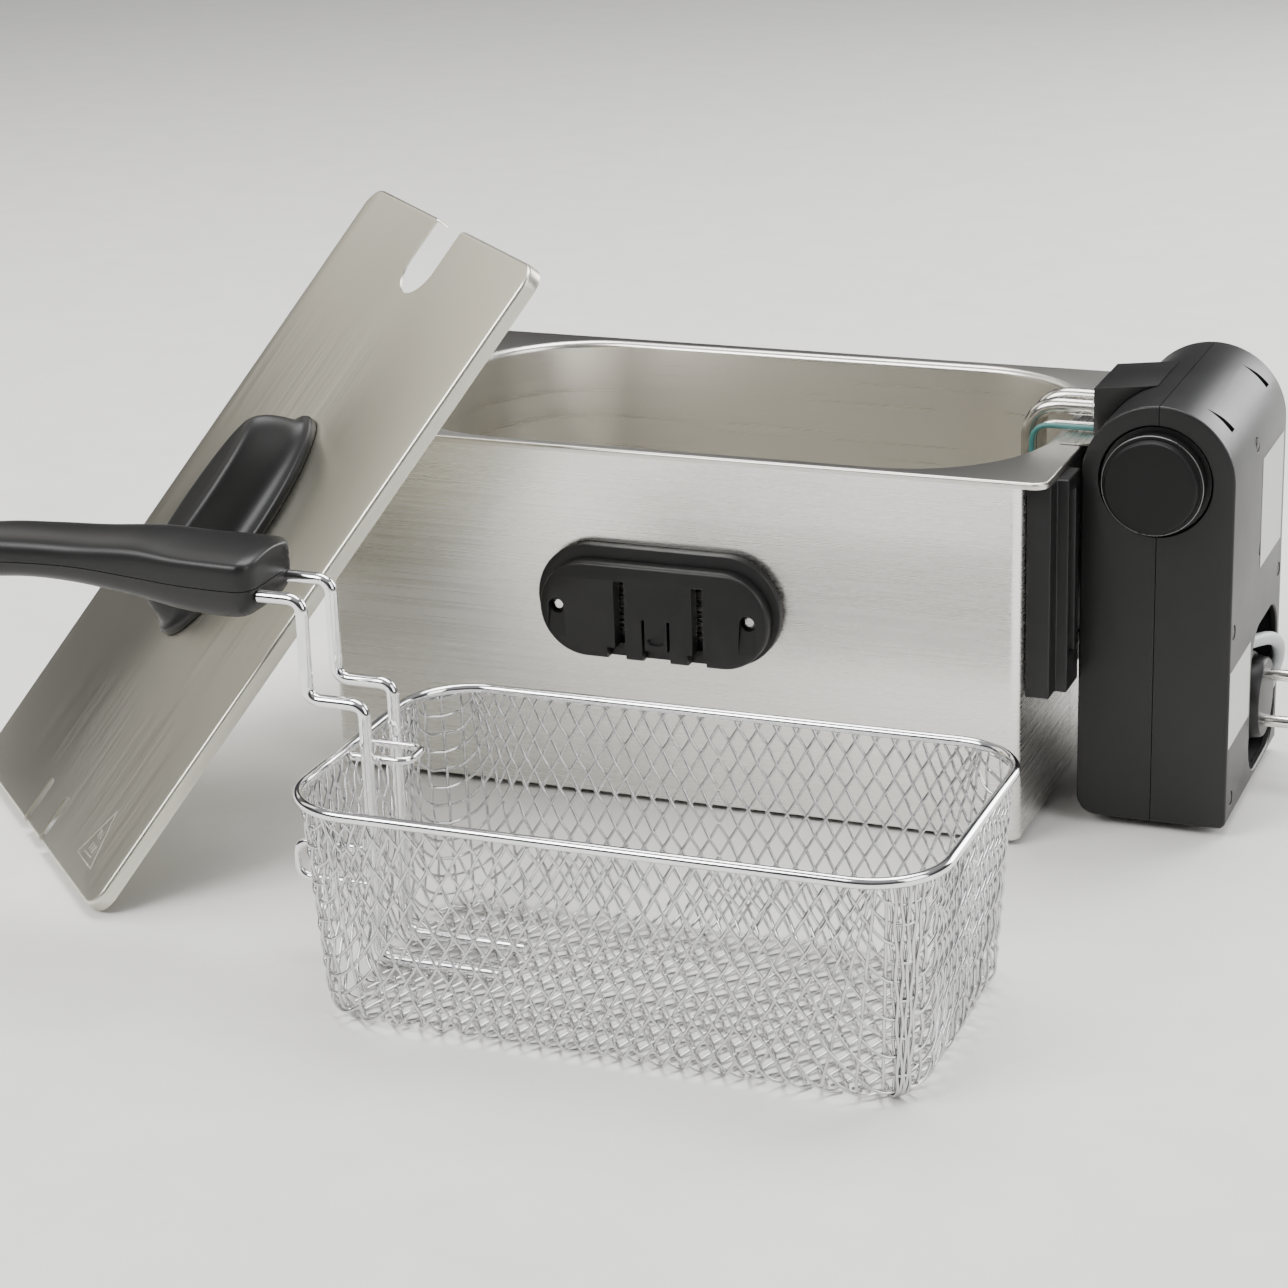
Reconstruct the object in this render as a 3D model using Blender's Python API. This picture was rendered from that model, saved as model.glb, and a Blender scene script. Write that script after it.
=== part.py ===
"""Deep fryer, laid out for use: the housing with its oil bowl and docked control unit, the lid leaning
on the bowl's corner, and the wire basket standing in front.

Blender 4.5, metres, +Z up.  The layout frame has its origin on the floor under the middle of the
housing, +X along the long side towards the control unit and +Y away from the basket.  The whole
layout hangs from one empty that puts the origin under the middle of the object's box.
"""

from math import asin, cos, pi, radians, sin

import bmesh
import bpy
from mathutils import Matrix, Vector

GAP = 0.0003  # clearance kept between neighbouring pieces
CORNER_STEPS = 6  # segments in each quarter turn of a rounded outline

# Layout: where the middle of the object's box lies, in the layout frame
CENTRE_X = -0.0377
CENTRE_Y = -0.1086

# Housing
HOUSING_X0, HOUSING_X1 = -0.1500, 0.1425
HOUSING_HALF_WIDTH = 0.0810
HOUSING_WALL = 0.0010
HOUSING_CORNER = 0.0045
HOUSING_Z0 = 0.0020
FOOT_RADIUS = 0.0085
FOOT_HEIGHT = 0.0057
FOOT_INSET = 0.0220
BASE_THICKNESS = 0.0020

# Oil bowl
FLANGE_HALF_LENGTH, FLANGE_HALF_WIDTH = 0.15225, 0.0820
FLANGE_TOP = 0.1480
FLANGE_LIP = 0.0025
FLANGE_CORNER = 0.0060
BOWL_SHEET = 0.0010
LIP_SHEET = 0.0007
OPENING_CENTRE_X = 0.0032
OPENING_HALF_LENGTH, OPENING_HALF_WIDTH = 0.1375, 0.0775
OPENING_CORNER = 0.0580
BOWL_DRAFT = 0.0065
BOWL_FLOOR = 0.0270
BOWL_FLOOR_RADIUS = 0.0180
ROLL_RADIUS = 0.0030

# Control unit: a slim box with a half-round top, split down its middle into two shells
UNIT_X = 0.1870
UNIT_HALF_THICKNESS = 0.0295
UNIT_HALF_DEPTH = 0.0500
UNIT_Z0, UNIT_Z1 = 0.0040, 0.1720
UNIT_WALL = 0.0025
UNIT_AXIS_Z = UNIT_Z1 - UNIT_HALF_THICKNESS
UNIT_CORNER_INNER, UNIT_CORNER_OUTER = 0.0080, 0.0030
KNOB_X = 0.1862
KNOB_RADIUS, KNOB_FACE_RADIUS, KNOB_HEIGHT = 0.0195, 0.0179, 0.0095
KNOB_FACE_RISE = 0.0035
WELL_RADIUS = 0.0215
SHAFT_RADIUS = 0.0030
SHAFT_LENGTH = 0.0068
BUTTON_X, BUTTON_Z, BUTTON_RADIUS = 0.1740, 0.1050, 0.0035
BUTTON_PLAY = 0.0005
HEAD_HALF_WIDTH = 0.0190
HEAD_X0, HEAD_Z0, HEAD_Z1 = 0.1545, 0.1496, 0.1685
HEAD_RISE = 0.0028
HEAD_CHAMFER = 0.0015
SHELL_SCREW_RADIUS = 0.0025
SCREW_PLACES = ((-0.0071, 0.1472), (0.0043, 0.1020), (0.0440, 0.0804), (-0.0440, 0.0832), (-0.0400, 0.0134))

# Rail bracket between the housing and the control unit
BRACKET_HALF_WIDTH, BRACKET_Z0 = 0.0745, 0.0600
RAIL_OUTER, RAIL_INNER = 0.0655, 0.0480

# Heating element and sensing tubes
TUBE_RADIUS = 0.0032
TUBE_Z = 0.1570
TUBE_Y = (0.0090, -0.0060)
TUBE_DROP_X = 0.1255
ELEMENT_Z = 0.0460
CAPILLARY_RADIUS = 0.0011
BULB_SCALE = 2.6
PROBE_Y, PROBE_Z, PROBE_DROP_X, PROBE_BULB_Z = -0.0135, 0.1508, 0.1285, 0.0560
CUTOUT_Y, CUTOUT_Z, CUTOUT_DROP_X, CUTOUT_BULB_Z = -0.0108, 0.1514, 0.1302, 0.0645

# Cord compartment and the recess in the outer shell
RECESS_Y, RECESS_Z = 0.0190, 0.0385
RECESS_HALF_Y, RECESS_HALF_Z, RECESS_CORNER = 0.0260, 0.0305, 0.0150
TRAY_X0, TRAY_X1 = 0.1660, 0.2136
TRAY_HALF_Y = 0.0465
TRAY_Z0, TRAY_Z1 = 0.0072, 0.0885
TRAY_WALL = 0.0012

# Cord: a strain relief, four turns wound side by side, and a free stretch to the plug
CORD_RADIUS = 0.00275
COIL_RADIUS, COIL_Z = 0.0310, 0.0470
COIL_FIRST_X, COIL_PITCH, COIL_TURNS = 0.1723, 0.0057, 4
GLAND_Z0 = 0.0695
CORD_ROUTE = (
    (0.1956, -0.0030, 0.0162), (0.1990, 0.0030, 0.0154), (0.2026, 0.0120, 0.0130), (0.2063, 0.0220, 0.0135),
    (0.2095, 0.0310, 0.0178), (0.2125, 0.0365, 0.0250), (0.2160, 0.0392, 0.0360), (0.2186, 0.0383, 0.0450),
    (0.2193, 0.0335, 0.0525), (0.2176, 0.0250, 0.0575), (0.2145, 0.0140, 0.0600), (0.2110, 0.0020, 0.0616),
    (0.2083, -0.0090, 0.0626), (0.2068, -0.0194, 0.0628), (0.2066, -0.0278, 0.0611), (0.2066, -0.0350, 0.0564),
    (0.2066, -0.0397, 0.0492), (0.2066, -0.0414, 0.0408), (0.2066, -0.0397, 0.0324), (0.2066, -0.0350, 0.0252),
    (0.2066, -0.0278, 0.0205), (0.2066, -0.0194, 0.0188), (0.2066, -0.0137, 0.0196), (0.2066, -0.0091, 0.0214),
)
PLUG_Y, PLUG_Z, PLUG_RADIUS = 0.0170, 0.0350, 0.0182
PLUG_X0, PLUG_X1 = 0.1956, 0.2185
BOOT_LENGTH = 0.0102
PIN_RADIUS, PIN_LENGTH, PIN_SPACING = 0.0024, 0.0190, 0.0190
PIN_TILT = radians(33)

# Side handles
SIDE_HANDLE_HALF_LENGTH = 0.0510
SIDE_HANDLE_HALF_HEIGHT = 0.0227
SIDE_HANDLE_X, SIDE_HANDLE_Z = -0.0028, 0.0868
SIDE_HANDLE_BASE = 0.0047
SIDE_HANDLE_DEPTH = 0.0110
SIDE_COVER_DROP = 0.0022
SIDE_SCREW_X, SIDE_SCREW_Z = (-0.0436, 0.0367), 0.0848
FINGER_SLOT_HALF_WIDTH = 0.0022
BASE_SLOT_EXTRA = 0.0050
FINGER_SLOTS = ((-0.0167, "left"), (0.0160, "right"))
FINGER_SLOT_TOP, TONGUE_TOP, COVER_GAP_TOP, BELOW_COVER = 0.0975, 0.0824, 0.0697, 0.0550
COVER_GAPS = ((-0.0224, -0.0142), (0.0116, 0.0196))
TONGUE_GAP, TONGUE_HALF_WIDTH, TONGUE_X = (-0.0074, 0.0044), 0.0047, -0.0015

# Lid, in its own frame: x across, y along its length, z out of its top face
LID_WIDTH, LID_LENGTH = 0.1735, 0.2940
LID_SKIRT = 0.0062
LID_SHEET = 0.0008
LID_CORNER = 0.0090
LID_CORNER_X, LID_CORNER_Y = -0.1708, -0.2501
LID_HEADING = radians(135.93)
LID_SLOPE = radians(49.34)
LID_HANDLE_PLACE = (LID_WIDTH / 2, 0.1470)
LID_HANDLE_SECTIONS = (
    # half width, half length and height of each oval level
    (0.0226, 0.0520, GAP), (0.0226, 0.0520, 0.0030), (0.0218, 0.0512, 0.0040), (0.0172, 0.0486, 0.0055),
    (0.0144, 0.0474, 0.0080), (0.0126, 0.0460, 0.0120), (0.0112, 0.0440, 0.0165), (0.0100, 0.0410, 0.0205),
    (0.0088, 0.0375, 0.0230), (0.0066, 0.0320, 0.0240),
)
LID_NOTCH_HALF_WIDTH, LID_NOTCH_DEPTH = 0.0130, 0.0330
LID_SLOT_WIDTH, LID_SLOT_LENGTH, LID_SLOT_SPACING = 0.0052, 0.0210, 0.0230

# Basket, in a frame under its middle
BASKET_X, BASKET_Y = 0.0580, -0.2439
BASKET_HALF_LENGTH, BASKET_HALF_WIDTH = 0.1178, 0.0655
BASKET_HEIGHT = 0.0826
BASKET_CORNER = 0.0260
BASKET_TAPER = 0.0050
BASKET_FOLD = 0.0090
BASKET_WALL = 0.0015
RIM_RADIUS = 0.0020
HANDLE_WIRE_RADIUS = 0.0023
HANDLE_WIRE_Y = 0.0115
HANDLE_WIRE_BEND = 0.0055
WIRE_TOP_Z, WIRE_STEP_Z, WIRE_FLOOR_Z = 0.1390, 0.1020, 0.0050
BRACE_RADIUS, BRACE_Y, BRACE_Z, BRACE_LENGTH = 0.0015, 0.0074, 0.0806, 0.0219
GRIP_X1 = -0.0860
GRIP_STEPS, GRIP_SQUARENESS = 14, 0.5
GRIP_SECTIONS = (
    # along X, half width, then the heights of the seam, the top and the underside
    (-0.0860, 0.0165, 0.1420, 0.1525, 0.1365),
    (-0.0900, 0.0185, 0.1420, 0.1537, 0.1310),
    (-0.1000, 0.0187, 0.1420, 0.1541, 0.1298),
    (-0.1160, 0.0180, 0.1422, 0.1543, 0.1306),
    (-0.1340, 0.0165, 0.1430, 0.1555, 0.1330),
    (-0.1570, 0.0150, 0.1440, 0.1540, 0.1352),
    (-0.1780, 0.0142, 0.1435, 0.1532, 0.1358),
    (-0.1980, 0.0138, 0.1420, 0.1520, 0.1340),
    (-0.2180, 0.0132, 0.1390, 0.1490, 0.1305),
    (-0.2270, 0.0118, 0.1370, 0.1465, 0.1290),
    (-0.2320, 0.0085, 0.1350, 0.1415, 0.1300),
)


# ---------------------------------------------------------------- outlines


def arc(cx, cy, radius, start, end, steps):
    """Points on a circle from start to end, in radians, both ends included."""
    return [
        (cx + radius * cos(start + (end - start) * i / steps), cy + radius * sin(start + (end - start) * i / steps))
        for i in range(steps + 1)
    ]


def rounded_rectangle(half_x, half_y, radius, steps=CORNER_STEPS, centre=(0.0, 0.0)):
    """A rectangle with round corners, anticlockwise from the corner at +X +Y."""
    points = []
    for turn, (sx, sy) in enumerate(((1, 1), (-1, 1), (-1, -1), (1, -1))):
        start = turn * pi / 2
        cx, cy = centre[0] + sx * (half_x - radius), centre[1] + sy * (half_y - radius)
        points += arc(cx, cy, radius, start, start + pi / 2, steps)
    return points


def arc_loop(cx, cy, radius, steps):
    """A whole circle as an outline."""
    return arc(cx, cy, radius, 0, 2 * pi * (steps - 1) / steps, steps - 1)


def smooth_curve(points, spacing):
    """A Catmull-Rom curve through the points, read off about every spacing."""
    points = [Vector(p) for p in points]
    padded = [points[0] * 2 - points[1]] + points + [points[-1] * 2 - points[-2]]
    route = []
    for a, b, c, d in zip(padded, padded[1:], padded[2:], padded[3:]):
        steps = max(1, round((c - b).length / spacing))
        for i in range(steps):
            t = i / steps
            route.append(((b * 2) + (c - a) * t + (a * 2 - b * 5 + c * 4 - d) * t**2
                          + (b * 3 - a - c * 3 + d) * t**3) / 2)
    return route + [points[-1]]


def filleted(points, radius, steps=5):
    """A 3-D polyline whose inner corners are turned on arcs of the given radius."""
    points = [Vector(p) for p in points]
    route = [points[0]]
    for before, corner, after in zip(points, points[1:], points[2:]):
        back, ahead = (before - corner).normalized(), (after - corner).normalized()
        half_angle = back.angle(ahead) / 2
        cut = min(radius / max(0.05, abs(sin(half_angle) / cos(half_angle))), (before - corner).length * 0.49,
                  (after - corner).length * 0.49)
        start, end = corner + back * cut, corner + ahead * cut
        for i in range(steps + 1):
            t = i / steps
            route.append(start * (1 - t) ** 2 + corner * 2 * t * (1 - t) + end * t**2)
    route.append(points[-1])
    return route


# ---------------------------------------------------------------- making objects


def clear_scene():
    for obj in list(bpy.data.objects):
        bpy.data.objects.remove(obj, do_unlink=True)


def material(name, colour, roughness, metallic=0.0):
    made = bpy.data.materials.get(name) or bpy.data.materials.new(name)
    made.use_nodes = True
    shader = made.node_tree.nodes["Principled BSDF"]
    shader.inputs["Base Color"].default_value = (*colour, 1.0)
    shader.inputs["Roughness"].default_value = roughness
    shader.inputs["Metallic"].default_value = metallic
    return made


def empty(name, location=(0.0, 0.0, 0.0), parent=None, matrix=None):
    obj = bpy.data.objects.new(name, None)
    bpy.context.scene.collection.objects.link(obj)
    obj.parent = parent
    if matrix is not None:
        obj.matrix_local = matrix
    else:
        obj.location = location
    return obj


def link(name, data, finish, parent, location=(0.0, 0.0, 0.0)):
    data.materials.append(material(*finish))
    obj = bpy.data.objects.new(name, data)
    bpy.context.scene.collection.objects.link(obj)
    obj.parent = parent
    obj.location = location
    return obj


def mesh_object(name, bm, finish, parent, location=(0.0, 0.0, 0.0), smooth_below=35):
    bmesh.ops.remove_doubles(bm, verts=bm.verts, dist=0.000005)
    bmesh.ops.recalc_face_normals(bm, faces=bm.faces)
    mesh = bpy.data.meshes.new(name)
    bm.to_mesh(mesh)
    bm.free()
    mesh.shade_smooth()
    mesh.set_sharp_from_angle(angle=radians(smooth_below))
    return link(name, mesh, finish, parent, location)


def loft(rings, closed=False):
    """A skin through rings of equally many points, capped at both ends unless it closes on itself."""
    bm = bmesh.new()
    rows = [[bm.verts.new(p) for p in ring] for ring in rings]
    pairs = list(zip(rows, rows[1:])) + ([(rows[-1], rows[0])] if closed else [])
    for lower, upper in pairs:
        for i in range(len(lower)):
            j = (i + 1) % len(lower)
            bm.faces.new((lower[i], lower[j], upper[j], upper[i]))
    if not closed:
        bm.faces.new(list(reversed(rows[0])))
        bm.faces.new(rows[-1])
    return bm


def level(outline, z):
    """A flat outline in X and Y, raised to height z."""
    return [(x, y, z) for x, y in outline]


def prism(outline, z0, z1):
    return loft([level(outline, z0), level(outline, z1)])


def upright(outline, y0, y1):
    """An outline in X and Z, extruded along Y."""
    return loft([[(x, y0, z) for x, z in outline], [(x, y1, z) for x, z in outline]])


def sideways(outline, x0, x1):
    """An outline in Y and Z, extruded along X."""
    return loft([[(x0, y, z) for y, z in outline], [(x1, y, z) for y, z in outline]])


def block(x0, x1, y0, y1, z0, z1):
    return prism([(x0, y0), (x1, y0), (x1, y1), (x0, y1)], z0, z1)


def turned(profile, axis, steps=24):
    """A solid of revolution: profile holds (distance along the axis, radius), ends on the axis excluded."""
    to_world = {"X": lambda a, b, c: (a, b, c), "Y": lambda a, b, c: (b, a, c), "Z": lambda a, b, c: (b, c, a)}[axis]
    rings = []
    for along, radius in profile:
        rings.append([to_world(along, radius * cos(2 * pi * i / steps), radius * sin(2 * pi * i / steps))
                      for i in range(steps)])
    return loft(rings)


def wire(name, points, radius, finish, parent, cyclic=False, scales=None, resolution=2):
    """A round wire or tube along a list of points, with filled ends."""
    curve = bpy.data.curves.new(name, "CURVE")
    curve.dimensions = "3D"
    curve.bevel_depth = radius
    curve.bevel_resolution = resolution
    curve.use_fill_caps = not cyclic
    spline = curve.splines.new("POLY")
    spline.points.add(len(points) - 1)
    for i, point in enumerate(points):
        spline.points[i].co = (*point, 1.0)
        spline.points[i].radius = scales[i] if scales else 1.0
    spline.use_cyclic_u = cyclic
    return link(name, curve, finish, parent)


def cut(obj, bm, name):
    """Cuts a shape out of obj with an exact Boolean that stays on it."""
    bmesh.ops.recalc_face_normals(bm, faces=bm.faces)
    mesh = bpy.data.meshes.new(name)
    bm.to_mesh(mesh)
    bm.free()
    cutter = bpy.data.objects.new(name, mesh)
    bpy.context.scene.collection.objects.link(cutter)
    cutter.parent = obj.parent
    cutter.location = obj.location
    cutter.hide_render = True
    cutter.display_type = "WIRE"
    modifier = obj.modifiers.new(name, "BOOLEAN")
    modifier.operation = "DIFFERENCE"
    modifier.solver = "EXACT"
    modifier.object = cutter


# ---------------------------------------------------------------- finishes

STEEL = ("brushed_steel", (0.62, 0.60, 0.56), 0.32, 1.0)
BOWL_STEEL = ("drawn_steel", (0.66, 0.65, 0.62), 0.26, 1.0)
CHROME = ("chrome_wire", (0.80, 0.80, 0.80), 0.12, 1.0)
ELEMENT = ("element_tube", (0.55, 0.54, 0.51), 0.25, 1.0)
BLACK = ("black_plastic", (0.022, 0.022, 0.023), 0.45)
GLOSS_BLACK = ("grip_plastic", (0.020, 0.020, 0.021), 0.30)
KNOB_BLACK = ("knob_plastic", (0.025, 0.025, 0.025), 0.38)
RUBBER = ("foot_rubber", (0.03, 0.03, 0.03), 0.80)
CORD_GREY = ("cord_grey", (0.42, 0.43, 0.44), 0.50)
PIN_METAL = ("pin_metal", (0.85, 0.84, 0.80), 0.18, 1.0)
CERAMIC = ("ceramic", (0.75, 0.73, 0.68), 0.60)
TEAL = ("capillary_sleeve", (0.16, 0.35, 0.34), 0.40)
RED = ("button_red", (0.55, 0.05, 0.04), 0.40)
ZINC = ("zinc_screw", (0.70, 0.70, 0.68), 0.30, 1.0)


# ---------------------------------------------------------------- housing


def housing_outline(inset, z):
    centre = ((HOUSING_X0 + HOUSING_X1) / 2, 0.0)
    half_length = (HOUSING_X1 - HOUSING_X0) / 2
    return level(rounded_rectangle(half_length - inset, HOUSING_HALF_WIDTH - inset, HOUSING_CORNER - inset,
                                   centre=centre), z)


def outer_housing(parent):
    top = FLANGE_TOP - BOWL_SHEET - GAP
    skin = loft([housing_outline(0, HOUSING_Z0), housing_outline(0, top), housing_outline(HOUSING_WALL, top),
                 housing_outline(HOUSING_WALL, HOUSING_Z0)], closed=True)
    mesh_object("outer_housing", skin, STEEL, parent)


def base_plate(parent):
    inset, bottom = HOUSING_WALL + GAP, FOOT_HEIGHT + GAP
    plate = loft([housing_outline(inset, bottom), housing_outline(inset, bottom + BASE_THICKNESS)])
    mesh_object("base_plate", plate, BLACK, parent)


def feet(parent):
    profile = [(0.0, FOOT_RADIUS * 0.85), (0.001, FOOT_RADIUS), (FOOT_HEIGHT, FOOT_RADIUS)]
    for side, row in ((-1, "front"), (1, "rear")):
        for x, end in ((HOUSING_X0 + FOOT_INSET, "left"), (HOUSING_X1 - FOOT_INSET, "right")):
            place = (x, side * (HOUSING_HALF_WIDTH - FOOT_INSET), 0.0)
            mesh_object(f"foot_{row}_{end}", turned(profile, "Z", 16), RUBBER, parent, place)


def rail_bracket(parent):
    """The plastic guide on the housing's end: a plate with two rails that the control unit hangs on."""
    x0, x1 = HOUSING_X1 + GAP, HOUSING_X1 + 0.0098
    rail_x = UNIT_X - UNIT_HALF_THICKNESS - 0.0006
    outline = [
        (x0, -BRACKET_HALF_WIDTH), (x1, -BRACKET_HALF_WIDTH), (x1, -RAIL_OUTER), (rail_x, -RAIL_OUTER),
        (rail_x, -RAIL_INNER), (x1, -RAIL_INNER), (x1, RAIL_INNER), (rail_x, RAIL_INNER), (rail_x, RAIL_OUTER),
        (x1, RAIL_OUTER), (x1, BRACKET_HALF_WIDTH), (x0, BRACKET_HALF_WIDTH),
    ]
    top = FLANGE_TOP - FLANGE_LIP - GAP
    mesh_object("rail_bracket", prism(outline, BRACKET_Z0, top), BLACK, parent, smooth_below=20)
    head = [(x1 + GAP, 0.0040), (x1 + 0.0015, 0.0040), (x1 + 0.0022, 0.0026)]
    for side, row in ((-1, "front"), (1, "rear")):
        mesh_object(f"bracket_screw_{row}", turned(head, "X", 12), ZINC, parent,
                    (0.0, side * 0.0360, BRACKET_Z0 + 0.0130))


def slot_shape(half_length, half_height, x, z, steps=10):
    """An outline in X and Z with round ends."""
    shift = half_length - half_height
    return (arc(x + shift, z, half_height, -pi / 2, pi / 2, steps)
            + arc(x - shift, z, half_height, pi / 2, 3 * pi / 2, steps))


def stepped_slot(gap_x0, gap_x1, slot_x0, slot_x1):
    """The outline of a slot that opens into a wider gap at the cover's lower edge."""
    return [(gap_x0, BELOW_COVER), (gap_x1, BELOW_COVER), (gap_x1, COVER_GAP_TOP), (slot_x1, COVER_GAP_TOP),
            (slot_x1, FINGER_SLOT_TOP), (slot_x0, FINGER_SLOT_TOP), (slot_x0, COVER_GAP_TOP), (gap_x0, COVER_GAP_TOP)]


def tongue_slot():
    """The outline of the cover's middle gap, with a slit up each side of a springy tongue."""
    (x0, x1), left, right = TONGUE_GAP, TONGUE_X - TONGUE_HALF_WIDTH, TONGUE_X + TONGUE_HALF_WIDTH
    return [(x0, BELOW_COVER), (x1, BELOW_COVER), (x1, TONGUE_TOP), (right, TONGUE_TOP), (right, COVER_GAP_TOP),
            (left, COVER_GAP_TOP), (left, TONGUE_TOP), (x0, TONGUE_TOP)]


def side_handle(parent, side, row):
    """A base plate on the wall and a deeper cover, slotted for the fingers, with a tongue at its lower edge."""
    wall_y = HOUSING_HALF_WIDTH + GAP
    joint_y = wall_y + SIDE_HANDLE_BASE
    face_y = wall_y + SIDE_HANDLE_DEPTH

    def ring(inset, depth, z):
        outline = slot_shape(SIDE_HANDLE_HALF_LENGTH - inset, SIDE_HANDLE_HALF_HEIGHT - inset, SIDE_HANDLE_X, z)
        return [(x, side * depth, height) for x, height in outline]

    base = mesh_object(f"handle_base_{row}", loft([ring(0, wall_y, SIDE_HANDLE_Z), ring(0, joint_y, SIDE_HANDLE_Z)]),
                       BLACK, parent)
    cover_z = SIDE_HANDLE_Z - SIDE_COVER_DROP
    back, shoulder = joint_y + GAP, face_y - 0.0022
    cover = mesh_object(f"handle_cover_{row}",
                        loft([ring(0.0030, back, cover_z), ring(0.0030, shoulder, cover_z),
                              ring(0.0037, face_y - 0.0006, cover_z), ring(0.0052, face_y, cover_z)]), BLACK, parent)
    y0, y1 = sorted((side * (wall_y - 0.0050), side * (face_y + 0.0050)))
    for (x, name), (gap_x0, gap_x1) in zip(FINGER_SLOTS, COVER_GAPS):
        slot_x0, slot_x1 = x - FINGER_SLOT_HALF_WIDTH, x + FINGER_SLOT_HALF_WIDTH
        window = block(slot_x0 - BASE_SLOT_EXTRA, slot_x1, y0, y1, COVER_GAP_TOP, FINGER_SLOT_TOP)
        cut(base, window, f"base_slot_{row}_{name}")
        cut(cover, upright(stepped_slot(gap_x0, gap_x1, slot_x0, slot_x1), y0, y1), f"cover_slot_{row}_{name}")
    cut(cover, upright(tongue_slot(), y0, y1), f"tongue_gap_{row}")
    for x, name in zip(SIDE_SCREW_X, ("left", "right")):
        cut(cover, upright(arc_loop(x, SIDE_SCREW_Z, 0.0033, 12), y0, y1), f"cover_bore_{row}_{name}")
        head = [(side * (back + 0.0002), 0.0028), (side * (back + 0.0022), 0.0028), (side * (back + 0.0028), 0.0018)]
        mesh_object(f"handle_screw_{row}_{name}", turned(head, "Y", 12), ZINC, parent, (x, 0.0, SIDE_SCREW_Z))


# ---------------------------------------------------------------- oil bowl


def pan_profile(skin):
    """Inset and height down the pan's wall, from the flange's edge to the floor, a sheet's depth under its face."""
    roll, base = ROLL_RADIUS - skin, BOWL_FLOOR_RADIUS + skin
    side, foot = ROLL_RADIUS + BOWL_DRAFT - skin, BOWL_FLOOR + BOWL_FLOOR_RADIUS
    bends = [(roll * sin(pi / 6 * i), FLANGE_TOP - ROLL_RADIUS + roll * cos(pi / 6 * i)) for i in range(4)]
    return bends + [(side + base * (1 - cos(pi / 8 * i)), foot - base * sin(pi / 8 * i)) for i in range(5)]


def oil_bowl(parent):
    """A drawn steel pan: flat flange with a turned lip, rolled edge, drafted wall and a radiused floor."""

    def flange(inset, z):
        return level(rounded_rectangle(FLANGE_HALF_LENGTH - inset, FLANGE_HALF_WIDTH - inset,
                                       FLANGE_CORNER - inset), z)

    def pan(inset, z):
        return level(rounded_rectangle(OPENING_HALF_LENGTH - inset, OPENING_HALF_WIDTH - inset,
                                       OPENING_CORNER - inset, centre=(OPENING_CENTRE_X, 0.0)), z)

    lip_z = FLANGE_TOP - FLANGE_LIP
    inside = [pan(inset, z) for inset, z in reversed(pan_profile(0.0))]
    rim = [flange(0.0006, FLANGE_TOP), flange(0, FLANGE_TOP - 0.0006), flange(0, lip_z), flange(LIP_SHEET, lip_z),
           flange(LIP_SHEET, FLANGE_TOP - BOWL_SHEET)]
    underside = [pan(inset, z) for inset, z in pan_profile(BOWL_SHEET)]
    mesh_object("oil_bowl", loft(inside + rim + underside), BOWL_STEEL, parent)


# ---------------------------------------------------------------- control unit


def shell_outline(depth, inset):
    """The unit's cross-section in Y and Z at a distance from its middle plane, drawn in by inset."""
    reach = UNIT_HALF_THICKNESS - inset
    sideways_share = min(1.0, abs(depth) / reach)
    top = UNIT_AXIS_Z + reach * (1 - sideways_share**2) ** 0.5
    corner = (UNIT_CORNER_INNER if depth < 0 else UNIT_CORNER_OUTER) - inset * 0.5
    into_corner = min(corner, max(0.0, abs(depth) - (reach - corner)))
    bottom = UNIT_Z0 + inset + corner - (corner**2 - into_corner**2) ** 0.5
    half_y = UNIT_HALF_DEPTH - inset
    return [(-half_y, bottom), (half_y, bottom), (half_y, top), (-half_y, top)]


def shell_depths(side, inset):
    """Distances from the middle plane at which the shell's section is drawn, close where it curves."""
    reach = UNIT_HALF_THICKNESS - inset
    corner = (UNIT_CORNER_INNER if side < 0 else UNIT_CORNER_OUTER) - inset * 0.5
    angles = [reach * sin(pi / 2 * i / 9) for i in range(10)]
    edges = [reach - corner + corner * sin(pi / 2 * i / 4) for i in range(4)]
    return [side * d for d in sorted(set(angles + edges)) if d > 0.0008]


def control_shell(parent, side, name):
    """One half of the unit's case, open along the middle plane."""
    seam = side * GAP / 2

    def skin(inset):
        return [[(UNIT_X + depth, y, z) for y, z in shell_outline(depth, inset)]
                for depth in [seam] + shell_depths(side, inset)]

    return mesh_object(name, loft(list(reversed(skin(0.0))) + skin(UNIT_WALL)), BLACK, parent, smooth_below=30)


def control_shells(parent):
    inner = control_shell(parent, -1, "control_shell_inner")
    outer = control_shell(parent, 1, "control_shell_outer")
    front = -UNIT_HALF_DEPTH
    for shell, name in ((inner, "inner"), (outer, "outer")):
        well = upright(arc_loop(KNOB_X, UNIT_AXIS_Z, WELL_RADIUS, 32), front - 0.0030, front + 0.0060)
        cut(shell, well, f"dial_well_{name}")
    back = UNIT_HALF_DEPTH
    button = upright(arc_loop(BUTTON_X, BUTTON_Z, BUTTON_RADIUS + BUTTON_PLAY, 16), back - 0.0100, back + 0.0100)
    cut(inner, button, "button_hole")
    recess = rounded_rectangle(RECESS_HALF_Y, RECESS_HALF_Z, RECESS_CORNER, centre=(RECESS_Y, RECESS_Z))
    face = UNIT_X + UNIT_HALF_THICKNESS
    cut(outer, sideways(recess, face - 0.0115, face + 0.0085), "cord_recess")


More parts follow.
